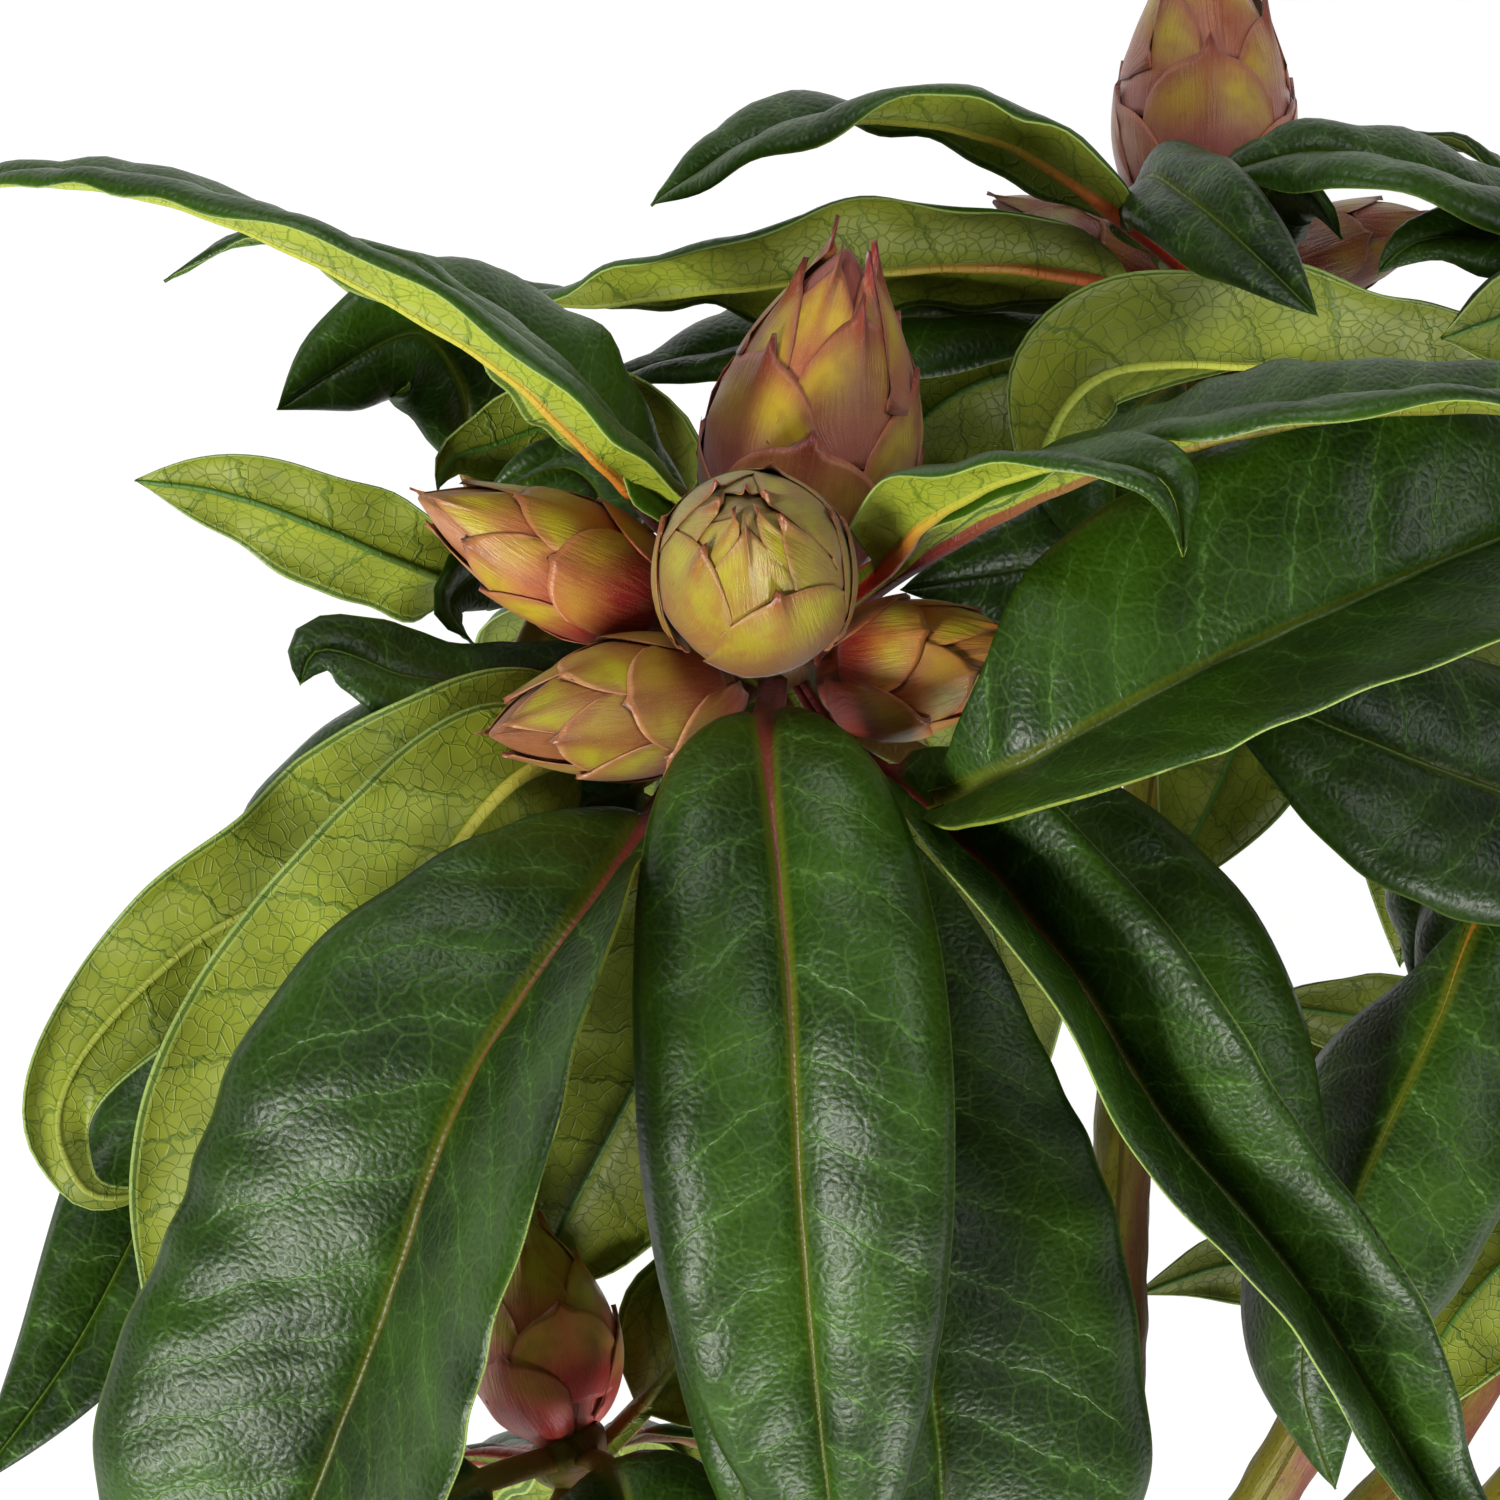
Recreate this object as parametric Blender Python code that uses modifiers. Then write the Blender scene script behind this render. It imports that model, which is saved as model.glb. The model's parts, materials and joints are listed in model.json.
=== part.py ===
"""A cut branch of rhododendron: one main stem that forks into seven shoots, each ending in a whorl of long
leaves round its winter buds.

The branch lies on its back. X runs to its right and Y from the cut end towards the top, and Z rises from the
leaves that it rests on to the buds that face up. Sizes are in millimetres until a mesh or a curve is made.
Places are read from straight above, at the scale of the plane z = 0: a point that stands nearer the eye than
that plane is drawn in towards the middle by true_place.
"""

import math

import bmesh
import bpy
import numpy as np
from mathutils import Matrix, Vector

NAME = "rhododendron_branch"
MM = 0.001

EYE_HEIGHT = 600.0
GAP = 0.3

# Leaves
BLADE_THICK = 1.3
PETIOLE_THICK = 2.4
PETIOLE_HALF = 1.6
TIP_HALF = 0.7
RING_STEP = 10.5
BROAD_LEAF = 31.0
BROAD_COLUMNS = (-1.0, -0.55, 0.0, 0.55, 1.0)
NARROW_COLUMNS = (-1.0, 0.0, 1.0)

# Buds
FATTEST = 0.38
BUD_ROWS = 9
BUD_SIDES = 14
SEAT_REACH = 25.0

# Stems
MAIN_RADII = (5.2, 4.6)
KNOB_RADIUS = 9.2
BOUGH_START_RADIUS = 3.4
BOUGH_STEPS = 12
RECEPTACLE = 1.9

FORK = (35, -95, -65)
MAIN_STEM = [(37, -128, -68), (37, -119, -68), (36.3, -107, -66.5), FORK]

# Each shoot: how it leaves the fork, then the places it passes on its way to its whorl.
BOUGHS = {
    "rear": ((0.0, 1.0, -0.5), [(36, -70, -65), (37, -45, -62), (39, -15, -59), (42.5, 15, -57)]),
    "front": ((-0.35, 0.75, 0.75), [(25, -75, -54), (15, -40, -46), (8, -12, -37.5)]),
    "left": ((-0.8, 0.6, -0.25), [(15, -70, -66), (-3, -30, -63), (-14, -5, -60)]),
    "low_left": ((-1.0, -0.05, 0.3), [(15, -91, -61), (-5, -83, -56)]),
    "low_right": ((0.5, 0.6, 0.65), [(47, -82, -54), (56, -67, -48), (66, -45, -45)]),
    "right": ((0.85, 0.55, -0.2), [(58, -80, -69), (73, -62, -69), (82, -30, -66), (84.5, 5, -58)]),
    "low_back": ((0.6, 0.15, -0.85), [(58, -88, -80), (82, -68, -79)]),
}

# Each whorl's twig: its foot, its head and its radius.
TWIGS = {
    "front": ((5.0, 0.5, -31), (2.4, 11.0, -21), 3.2),
    "rear": ((44.6, 33.5, -56), (46, 47, -55), 3.0),
    "right": ((86, 28, -50), (88, 39, -46), 2.8),
    "left": ((-18.5, 9, -56), (-21.5, 21, -51), 2.6),
    "low_left": ((-14.5, -75, -50), (-18.5, -70, -48), 2.6),
    "low_right": ((86, -12, -43), (93, -4, -41), 2.8),
    "low_back": ((96.6, -46.8, -76), (101, -38, -73), 2.6),
}

# Each bud: its base, its tip and its greatest width.
BUDS = {
    "bud_front_top": ((3.6, 16.8, -24.2), (9.8, 50.5, -10), 23),
    "bud_front_centre": ((1, 13, -13), (-0.5, 24, 19), 20.5),
    "bud_front_left": ((-7, 13.5, -18), (-33.5, 25.5, -8), 14),
    "bud_front_low_left": ((-2, 6, -17), (-26.3, 1.5, 3), 14.5),
    "bud_front_right": ((7, 6.5, -17), (27.7, 10.5, -6), 14.5),
    "bud_rear_top": ((45.3, 50, -54), (45.5, 82, -52), 20),
    "bud_rear_left": ((42.5, 47, -58), (24, 55, -60), 9),
    "bud_rear_right": ((50.5, 47.5, -57), (68.7, 53.2, -58), 10.5),
    "bud_left": ((-21.5, 22.5, -50), (-16.5, 34, -45), 9.5),
    "bud_low_left": ((-19, -69, -48), (-22.5, -46.5, -46), 16.5),
}


def leaf(along, course, width, roll=(0, 0, 0), fold=14, curl=60, stalk=14, wave=(0.6, 3, 0),
         widest=0.45, tip=2.2, turn=0.5):
    """One leaf of a whorl.

    along   where it leaves the twig, from foot 0 to head 1
    course  the places its midrib passes, the last one its tip
    roll    turn of the upper face about the midrib in degrees, at the base, at turn and at the tip
    fold    rise of each half from the midrib, and curl its bend down towards the margin, in degrees
    stalk   length of the petiole
    wave    height, number and phase of the margin's waves
    widest  place of the greatest width, and tip the fullness beyond it
    """
    return {"along": along, "course": course, "width": width, "roll": roll, "fold": fold, "curl": curl,
            "stalk": stalk, "wave": wave, "widest": widest, "tip": tip, "turn": turn, "back": False}


def back_leaf(along, heading, reach, droop, width, lean=0, roll=(0, 0, 0)):
    """One leaf on the far side of a whorl: out along the heading, seen from the top, and then down.

    heading  0 is to the right, 90 straight away from the eye and 180 to the left
    reach    how far its tip is from the twig, and droop how far it hangs towards the cut end
    """
    row = leaf(along, (heading, reach, droop, lean), width, roll)
    row["back"] = True
    return row


LEAVES = {
    "front": [
        leaf(0.90, [(2, 4, -13), (1.5, 3, -2), (4, -25, 12), (5.5, -45, 10), (10, -88, -9)], 38,
             curl=82, stalk=20, widest=0.42),
        leaf(0.85, [(-4, 2, -19), (-8, -4.5, -15), (-10.5, -8, -6), (-19, -19, 8), (-27, -31, 11),
                    (-38, -60, 6), (-50, -92, -12)], 49,
             roll=(38, 33, 28), fold=(34, 30), curl=(12, 35), stalk=26, widest=0.55),
        leaf(0.90, [(8, 1.5, -19), (16, -4.5, -9), (33.5, -24, 3), (40, -36, 3), (89, -84, -12)], 27,
             roll=(-12, -12, -8), fold=(58, 66), curl=15, stalk=22, wave=(1.4, 4, 0.2)),
        leaf(0.60, [(11, -2.5, -22), (16, -5, -14), (20.5, -4.5, 1), (27, -1.5, 9), (45, 8, 12), (65, 17, 12),
                    (95, 29, -4)], 42,
             roll=(-38, -28, -15), fold=(24, 44), curl=(40, 5), stalk=28, wave=(0.8, 2, 0), widest=0.38),
        leaf(0.95, [(13.5, 18.5, -12), (18, 23.3, 3), (35, 28.5, 22), (41.5, 27, 26), (43.4, 19.3, 25)], 17,
             roll=(-120, -115, -80), fold=30, curl=50, stalk=17),
        leaf(0.75, [(12, 16, -21), (17, 19.4, -15), (60, 33.6, 19), (97, 33, 12)], 22,
             roll=(-90, -91, -88), fold=(45, 28), curl=(30, 70), stalk=22),
        leaf(0.95, [(-8, 22, -21), (-16, 30, -2), (-25, 38.5, 6), (-35, 44.5, 7), (-60, 55.5, 2),
                    (-88, 56, -8)], 24,
             roll=(105, 95, 60), fold=30, curl=70, stalk=17),
        leaf(0.80, [(-5, 18, -26), (-9, 23, -24), (-19, 37, -15), (-44, 52, -12)], 27,
             roll=(70, 75, 95), fold=34, stalk=15),
        leaf(0.50, [(1, -15, -25), (2, -40, -20), (5, -80, -22), (6, -92, -26)], 26,
             fold=10, stalk=15),
        leaf(0.40, [(-3, -6, -29), (-5, -15, -33), (-11, -29, -33), (-19.5, -39.5, -31), (-35, -62, -28)], 27,
             roll=(170, 175, 180), fold=12, curl=40, stalk=22),
        leaf(0.60, [(10, -5, -17), (17, -45, -9), (16, -98, -26)], 48,
             roll=(-15, -22, -20), fold=(14, 22), curl=(30, 50), stalk=18, widest=0.6),
        leaf(0.60, [(-12, 1, -22), (-24, -3.5, -10), (-32.3, -13.4, -5), (-50, -38, -5), (-57, -65, -14)], 26,
             roll=(165, 172, 180), fold=12, curl=45, stalk=25),
        leaf(0.75, [(-10, 7.5, -22), (-31, -4, -12), (-45, -13.5, -10), (-56.5, -20, -9), (-68.8, -40, -9),
                    (-66.5, -44, -9), (-57.5, -43, -12)], 22,
             roll=(165, 172, 180), curl=40, stalk=22, wave=(0.8, 3, 0.4), widest=0.35, tip=1.2),
        leaf(0.60, [(-12, 9, -25), (-27, 6.5, -22), (-34, 7.5, -20), (-44, 9.5, -16), (-45, 6.5, -15)], 18,
             roll=(50, 60, 30), fold=20, stalk=16),
        leaf(0.40, [(-13, 5, -32), (-39, -4.5, -30), (-55, -24, -34)], 20,
             roll=(30, 20, 10), stalk=16),
        leaf(0.45, [(-19, -8, -21), (-37, -29, -16), (-54, -62, -14), (-57, -88, -22)], 26,
             roll=(10, 15, 15), stalk=18),
        leaf(0.40, [(19, -2, -28), (40, -20, -23), (45.5, -31, -21), (53, -60, -26)], 28,
             roll=(0, -10, -15), curl=70, stalk=18),
        back_leaf(0.80, 66, 82, 50, 27),
        back_leaf(0.70, 93, 74, 38, 25),
    ],
    "rear": [
        leaf(0.70, [(46, 46, -43), (35, 55, -36), (25, 61, -36), (3, 62, -35), (-10, 54.5, -38)], 22,
             roll=(125, 105, 50), fold=25, stalk=26, wave=(0.8, 3, 0)),
        leaf(0.60, [(40, 45.5, -48), (30, 48, -45), (-5, 46, -42), (-20, 45, -48), (-27, 47.5, -53)], 24,
             roll=(110, 118, 80), fold=25, curl=55, wave=(1.0, 3, 0.2)),
        leaf(0.45, [(36, 43.2, -57), (28, 43.8, -55), (-1, 40.5, -51), (-16, 36.5, -52)], 24,
             roll=(60, 55, 70), fold=20),
        leaf(0.20, [(35, 37.5, -69), (25, 37.5, -70), (11, 27, -66)], 29,
             roll=(150, 155, 160), curl=50, stalk=10),
        leaf(0.80, [(41, 50, -45), (38, 55, -41), (39.5, 57.5, -35), (43.5, 55.5, -26), (56.8, 43.4, -12)], 15,
             fold=12, curl=50, turn=0.6),
        leaf(0.90, [(50, 51, -43), (52, 56, -37), (56, 55.5, -32), (59, 51, -31)], 12,
             roll=(0, -10, 0), stalk=10, turn=0.6),
        leaf(0.50, [(42, 37, -50), (38, 33, -46), (37, 18, -44)], 20,
             roll=(20, 10, 0), fold=12, stalk=8),
        leaf(0.35, [(58, 34, -56), (56.5, 36.5, -53), (50.5, 36, -50), (46.5, 32.5, -47)], 10,
             roll=(-90, 70, 70), fold=20, stalk=6),
        leaf(0.50, [(54, 28, -50), (51, 8, -49), (41, -15, -46)], 22,
             roll=(180, 170, 160), curl=50, stalk=10),
        back_leaf(0.50, 60, 76, 14, 27),
        back_leaf(0.70, 86, 84, 40, 29),
        back_leaf(0.60, 108, 74, 24, 26),
    ],
    "right": [
        leaf(0.45, [(65, 36.7, -35), (50, 38.6, -31), (33.5, 36.5, -29), (28, 25, -35)], 25,
             roll=(110, 113, 165), fold=38, curl=25, wave=(0.8, 3, 0)),
        leaf(0.80, [(83, 53, -34), (75, 55.5, -27), (56, 60, -27), (45.5, 57, -32)], 20,
             roll=(60, 70, 40), fold=22, curl=70, stalk=12, wave=(1.0, 3, 0.5)),
        leaf(0.90, [(82, 43, -38), (75, 51, -26), (65, 50, -24), (62.7, 47.6, -24)], 12,
             roll=(80, 80, 60), fold=24, stalk=10),
        leaf(0.50, [(78, 56, -63), (70, 61, -63), (63.6, 62.1, -63)], 9,
             roll=(80, 80, 80), fold=20, curl=50, stalk=10),
        leaf(0.70, [(85, 40, -26), (79, 44, -20), (69, 41.2, -17)], 22,
             roll=(150, 150, 150), curl=50, stalk=12),
        back_leaf(0.60, 5, 72, 35, 27),
        back_leaf(0.40, 38, 80, 45, 30),
        back_leaf(0.60, 72, 84, 40, 29),
        back_leaf(0.50, 104, 78, 62, 28),
    ],
    "left": [
        leaf(0.60, [(-26, 16.5, -43), (-30, 17.2, -35), (-55, 26.3, -27), (-61.5, 27, -28)], 15,
             roll=(140, 145, 150), curl=40, stalk=12),
        leaf(0.80, [(-27.5, 27, -51), (-29, 37, -47), (-32.5, 41.5, -43), (-41.2, 38, -39), (-47.3, 34, -38)], 16,
             roll=(10, 15, 20), curl=50),
        leaf(0.70, [(-28, 35, -60), (-51, 51, -58), (-58.7, 47, -57)], 14,
             roll=(90, 90, 90), fold=20),
        leaf(0.60, [(-12, 23, -45), (-11.5, 29, -40), (-18.5, 32.5, -36.5), (-26, 30.5, -34), (-30, 29, -33),
                    (-31.3, 26, -33)], 16,
             roll=(160, 165, 175), curl=50, stalk=12, tip=1.6),
        leaf(0.90, [(-16, 20, -42), (-15, 25, -36), (-18, 28, -31), (-27, 24.5, -29)], 12,
             roll=(0, 10, 10), stalk=8),
        leaf(0.85, [(-24, 17.5, -41), (-28, 17, -34), (-30, 14.5, -31.5), (-27.4, 10.6, -31)], 8,
             roll=(30, 10, -20), stalk=8),
        leaf(0.50, [(-29, -3, -49), (-55, -36, -36), (-69, -62, -30), (-78, -74, -28)], 22,
             stalk=16),
        back_leaf(0.20, 58, 80, 50, 27),
        back_leaf(0.40, 86, 84, 45, 29),
    ],
    "low_left": [
        leaf(0.80, [(-14, -72, -38), (-9, -95, -29), (-7, -110, -31)], 30, fold=12, stalk=10),
        leaf(0.60, [(-11, -66, -52), (-5, -59.5, -51), (15, -58, -55)], 24,
             roll=(150, 150, 150), curl=50, stalk=10),
        leaf(0.90, [(-25, -72.5, -37), (-32, -75, -31), (-60, -95, -26)], 30,
             roll=(20, 20, 20), stalk=16),
        leaf(0.60, [(-22, -84, -39), (-24, -100, -36), (-28, -115, -38)], 28, stalk=12),
        back_leaf(0.80, 62, 78, 35, 28),
        back_leaf(0.60, 92, 84, 40, 30),
        back_leaf(0.50, 124, 80, 45, 28),
        back_leaf(0.60, 156, 76, 50, 26),
    ],
    "low_right": [
        leaf(0.90, [(85, -6, -30), (57, -2.5, -20), (50.6, -3, -22)], 30,
             roll=(10, 20, 30), fold=12, stalk=10, tip=1.7),
        leaf(0.40, [(81, -5, -49), (71, -8, -51), (67, -15, -51), (66.5, -24, -53)], 20,
             roll=(50, 60, 70), stalk=10),
        leaf(0.70, [(83, -8, -36), (74, -14.5, -33), (68, -27, -31), (60, -45, -30), (55, -62, -31),
                    (58.5, -74, -34)], 34,
             roll=(0, -10, -10), stalk=20),
        back_leaf(0.60, 2, 76, 40, 28),
        back_leaf(0.40, 32, 80, 45, 29),
        back_leaf(0.60, 60, 72, 35, 27),
    ],
    "low_back": [
        leaf(0.80, [(80, -29, -77), (65, -27, -77), (50, -25, -76)], 16,
             roll=(155, 150, 150), curl=50, stalk=10),
        leaf(0.50, [(90, -36, -80), (75, -34, -84), (48, -31, -85)], 20,
             roll=(160, 160, 160), curl=50, stalk=10),
        leaf(0.30, [(92, -40, -80), (84, -46, -83), (60, -53, -83), (49, -51.2, -82), (38.5, -54.5, -81)], 18,
             roll=(150, 145, 150), curl=50, stalk=10),
        leaf(0.90, [(92, -38, -66), (85, -43, -60), (69, -59, -58), (65, -69, -58)], 22,
             roll=(180, 175, 170), curl=50, stalk=12),
        back_leaf(0.60, 15, 72, 40, 28),
        back_leaf(0.40, 50, 66, 45, 28),
        back_leaf(0.60, 90, 60, 30, 27),
    ],
}

LEAF_COLOUR = (0.045, 0.105, 0.026, 1)
BUD_COLOUR = (0.30, 0.19, 0.05, 1)
BARK_COLOUR = (0.15, 0.075, 0.035, 1)


def clear_scene():
    for item in list(bpy.data.objects):
        bpy.data.objects.remove(item, do_unlink=True)


def material(name, colour, roughness):
    made = bpy.data.materials.new(name)
    made.use_nodes = True
    shader = made.node_tree.nodes["Principled BSDF"]
    shader.inputs["Base Color"].default_value = colour
    shader.inputs["Roughness"].default_value = roughness
    shader.inputs["Metallic"].default_value = 0.0
    made.diffuse_color = colour
    return made


def true_place(place):
    """The place in space, in mm, of a point that is read from straight above at the scale of z = 0."""
    x, y, z = place
    nearer = (EYE_HEIGHT - z) / EYE_HEIGHT
    return np.array((x * nearer, y * nearer, z), float)


def unit(vectors):
    return vectors / np.linalg.norm(vectors, axis=-1, keepdims=True)


def ease(x):
    x = np.clip(x, 0, 1)
    return x * x * (3 - 2 * x)


def smooth_course(points, count):
    """Evenly spaced places along a smooth curve through the points, and the curve's length."""
    points = np.array(points, float)
    steps = np.diff(points, axis=0)
    spans = np.linalg.norm(steps, axis=1)
    chords = steps / spans[:, None]
    slopes = np.empty_like(points)
    weights = (spans[1:] + spans[:-1])[:, None]
    slopes[1:-1] = (chords[:-1] * spans[1:, None] + chords[1:] * spans[:-1, None]) / weights
    slopes[0] = 1.5 * chords[0] - 0.5 * slopes[1]
    slopes[-1] = 1.5 * chords[-1] - 0.5 * slopes[-2]
    t = np.linspace(0, 1, 25)[:-1, None]
    parts = []
    for i, span in enumerate(spans):
        parts.append((2 * t**3 - 3 * t**2 + 1) * points[i] + (t**3 - 2 * t**2 + t) * slopes[i] * span
                     + (3 * t**2 - 2 * t**3) * points[i + 1] + (t**3 - t**2) * slopes[i + 1] * span)
    fine = np.concatenate(parts + [points[-1:]])
    run = np.concatenate([[0], np.cumsum(np.linalg.norm(np.diff(fine, axis=0), axis=1))])
    wanted = np.linspace(0, run[-1], count)
    return np.stack([np.interp(wanted, run, fine[:, axis]) for axis in range(3)], 1), run[-1]


def blade_frames(path, roll, turn, facing):
    """The upper face's direction and the sideways direction at each place of the midrib."""
    along = unit(np.gradient(path, axis=0))
    count = len(path)
    face = np.zeros_like(path)
    middle = int(round(turn * (count - 1)))
    face[middle] = unit(facing - (facing @ along[middle]) * along[middle])
    for i in range(middle + 1, count):
        face[i] = unit(face[i - 1] - (face[i - 1] @ along[i]) * along[i])
    for i in range(middle - 1, -1, -1):
        face[i] = unit(face[i + 1] - (face[i + 1] @ along[i]) * along[i])
    s = np.linspace(0, 1, count)
    base, mid, end = roll
    angle = np.where(s < turn, base + (mid - base) * ease(s / turn),
                     mid + (end - mid) * ease((s - turn) / (1 - turn)))
    angle = np.radians(angle)[:, None]
    face = face * np.cos(angle) + np.cross(along, face) * np.sin(angle)
    return face, np.cross(along, face)


def half_width(u, row):
    """Half the blade's width at u, from its base 0 to its tip 1."""
    widest = row["widest"]
    below = np.sqrt(np.clip(1 - (np.clip(widest - u, 0, widest) / widest) ** 2.4, 0, 1))
    above = 1 - (np.clip(u - widest, 0, 1 - widest) / (1 - widest)) ** row["tip"]
    return row["width"] / 2 * np.where(u < widest, below, above)


def half_section(reach, fold, curl):
    """Across and up from the midrib at a share of the half width, for a half that rises and curls down."""
    steps = 24
    angle = np.radians(fold - curl * ((np.arange(steps) + 0.5) / steps) ** 2)
    across = np.concatenate([[0], np.cumsum(np.cos(angle)) / steps])
    rise = np.concatenate([[0], np.cumsum(np.sin(angle)) / steps])
    marks = np.linspace(0, 1, steps + 1)
    return np.interp(reach, marks, across), np.interp(reach, marks, rise)


def pair(value):
    return value if isinstance(value, tuple) else (value, value)


def back_course(start, heading, reach, droop, lean):
    """The midrib of a leaf on the far side, from its twig outward and then down."""
    angle = math.radians(heading)
    out = np.array((math.cos(angle), 0, -math.sin(angle)))
    lift = 0.25 * reach
    places = []
    for s in (0.2, 0.5, 0.78, 1.0):
        height = lift * s - (lift + droop) * s * s
        places.append(start + out * reach * (s - 0.12 * s * s) + np.array((lean * s, height, 0)))
    return places


def midrib(whorl, row):
    """The places that a leaf's midrib passes, from the middle of its twig to its tip."""
    foot, head, _ = TWIGS[whorl]
    start = true_place(foot) * (1 - row["along"]) + true_place(head) * row["along"]
    if row["back"]:
        return [start] + back_course(start, *row["course"])
    return [start] + [true_place(place) for place in row["course"]]


def leaf_solid(whorl, row):
    """Vertices and faces of one leaf, a closed plate folded and curled along its midrib."""
    points = midrib(whorl, row)
    _, length = smooth_course(points, 2)
    rings = max(6, int(round(length / RING_STEP)) + 1)
    path, length = smooth_course(points, rings)
    facing = np.array((0.0, 1.0, 0.0)) if row["back"] else np.array((0.0, 0.0, 1.0))
    face, side = blade_frames(path, row["roll"], row["turn"], facing)
    u = (np.linspace(0, 1, rings) * length - row["stalk"]) / (length - row["stalk"])
    half = np.maximum(half_width(np.clip(u, 0, 1), row), np.where(u < 0.05, PETIOLE_HALF, TIP_HALF))
    height, waves, phase = row["wave"]
    columns = BROAD_COLUMNS if row["width"] >= BROAD_LEAF else NARROW_COLUMNS
    sheet = []
    for column in columns:
        sign = math.copysign(1, column)
        fold, curl = (pair(row["fold"])[int(sign > 0)], pair(row["curl"])[int(sign > 0)])
        across, rise = half_section(abs(column), fold, curl)
        ripple = height * column**2 * np.sin(2 * np.pi * (waves * u + phase) + sign * 0.9)
        ripple = ripple * np.clip(4 * u, 0, 1) * np.clip(4 * (1 - u), 0, 1)
        sheet.append(path + side * (sign * half * across)[:, None] + face * (half * rise + ripple)[:, None])
    sheet = np.stack(sheet, 1)
    normal = unit(np.cross(np.gradient(sheet, axis=0), np.gradient(sheet, axis=1)))
    normal *= np.sign((normal * face[:, None]).sum(-1, keepdims=True))
    thick = BLADE_THICK + (PETIOLE_THICK - BLADE_THICK) * (1 - ease((u + 0.05) / 0.15))[:, None, None]
    upper = sheet + normal * thick * 0.15
    under = sheet - normal * thick * 0.85
    loops = np.concatenate([upper, under[:, ::-1]], 1)
    around = loops.shape[1]
    faces = []
    for i in range(rings - 1):
        for j in range(around):
            a = i * around + j
            b = i * around + (j + 1) % around
            faces.append((a, b, b + around, a + around))
    faces.append(tuple(range(around))[::-1])
    faces.append(tuple(range((rings - 1) * around, rings * around)))
    return loops.reshape(-1, 3), faces


def mesh_object(name, vertices, faces, look, collection):
    """An object from vertices in millimetres, with its faces turned outward."""
    mesh = bpy.data.meshes.new(name)
    mesh.from_pydata([tuple(v * MM) for v in vertices], [], faces)
    tool = bmesh.new()
    tool.from_mesh(mesh)
    bmesh.ops.triangulate(tool, faces=tool.faces[:])
    bmesh.ops.recalc_face_normals(tool, faces=tool.faces[:])
    if tool.calc_volume(signed=True) < 0:
        bmesh.ops.reverse_faces(tool, faces=tool.faces[:])
    tool.to_mesh(mesh)
    tool.free()
    mesh.materials.append(look)
    made = bpy.data.objects.new(name, mesh)
    collection.objects.link(made)
    return made


def tube(name, path, radii, look, collection):
    """A tapering round stem as a bevelled curve with filled caps."""
    curve = bpy.data.curves.new(name, "CURVE")
    curve.dimensions = "3D"
    curve.bevel_depth = MM
    curve.bevel_resolution = 2
    curve.use_fill_caps = True
    line = curve.splines.new("POLY")
    line.points.add(len(path) - 1)
    for point, place, radius in zip(line.points, path, radii):
        point.co = (*(place * MM), 1)
        point.radius = radius
    curve.materials.append(look)
    made = bpy.data.objects.new(name, curve)
    collection.objects.link(made)
    return made


def as_mesh(item, collection):
    """The object's evaluated shape as a closed mesh object, which takes its name and place."""
    bpy.context.view_layer.update()
    depsgraph = bpy.context.evaluated_depsgraph_get()
    mesh = bpy.data.meshes.new_from_object(item.evaluated_get(depsgraph))
    tool = bmesh.new()
    tool.from_mesh(mesh)
    bmesh.ops.remove_doubles(tool, verts=tool.verts[:], dist=1e-6)
    bmesh.ops.triangulate(tool, faces=tool.faces[:])
    bmesh.ops.recalc_face_normals(tool, faces=tool.faces[:])
    tool.to_mesh(mesh)
    tool.free()
    name = item.name
    place = item.matrix_world.copy()
    bpy.data.objects.remove(item, do_unlink=True)
    made = bpy.data.objects.new(name, mesh)
    made.matrix_world = place
    collection.objects.link(made)
    return made


def boolean(target, operation, group):
    """Join the group's objects to the target, or cut them out of it."""
    step = target.modifiers.new(operation.lower(), "BOOLEAN")
    step.operation = operation
    step.operand_type = "COLLECTION"
    step.collection = group
    step.solver = "MANIFOLD"
    bpy.context.view_layer.update()
    depsgraph = bpy.context.evaluated_depsgraph_get()
    mesh = bpy.data.meshes.new_from_object(target.evaluated_get(depsgraph))
    target.modifiers.remove(step)
    target.data = mesh


def empty_group(group):
    """Remove the pieces that have been joined or cut away."""
    for item in list(group.objects):
        bpy.data.objects.remove(item, do_unlink=True)


def keep_largest(target):
    """Drop loose scraps and the walls of sealed hollows, so that one closed body is left."""
    tool = bmesh.new()
    tool.from_mesh(target.data)
    bmesh.ops.remove_doubles(tool, verts=tool.verts[:], dist=1e-6)
    bmesh.ops.triangulate(tool, faces=tool.faces[:])
    islands = []
    seen = set()
    for start in tool.verts:
        if start in seen:
            continue
        island = []
        waiting = [start]
        seen.add(start)
        while waiting:
            vertex = waiting.pop()
            island.append(vertex)
            for edge in vertex.link_edges:
                other = edge.other_vert(vertex)
                if other not in seen:
                    seen.add(other)
                    waiting.append(other)
        islands.append(island)
    islands.sort(key=len, reverse=True)
    for island in islands[1:]:
        bmesh.ops.delete(tool, geom=island, context="VERTS")
    tool.to_mesh(target.data)
    tool.free()


def bud_radius(t, width):
    """Radius of a bud's core at t, from its base 0 to its tip 1."""
    if t < FATTEST:
        return width / 2 * math.sqrt(1 - ((FATTEST - t) / FATTEST) ** 2)
    return width / 2 * (1 - ((t - FATTEST) / (1 - FATTEST)) ** 2)


def bud_place(base, tip):
    """The turn and place that stand a bud's own Z along its axis."""
    start = true_place(base)
    axis = Vector(true_place(tip) - start)
    turn = Vector((0, 0, 1)).rotation_difference(axis)
    return Matrix.Translation(Vector(start) * MM) @ turn.to_matrix().to_4x4(), axis.length


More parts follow.
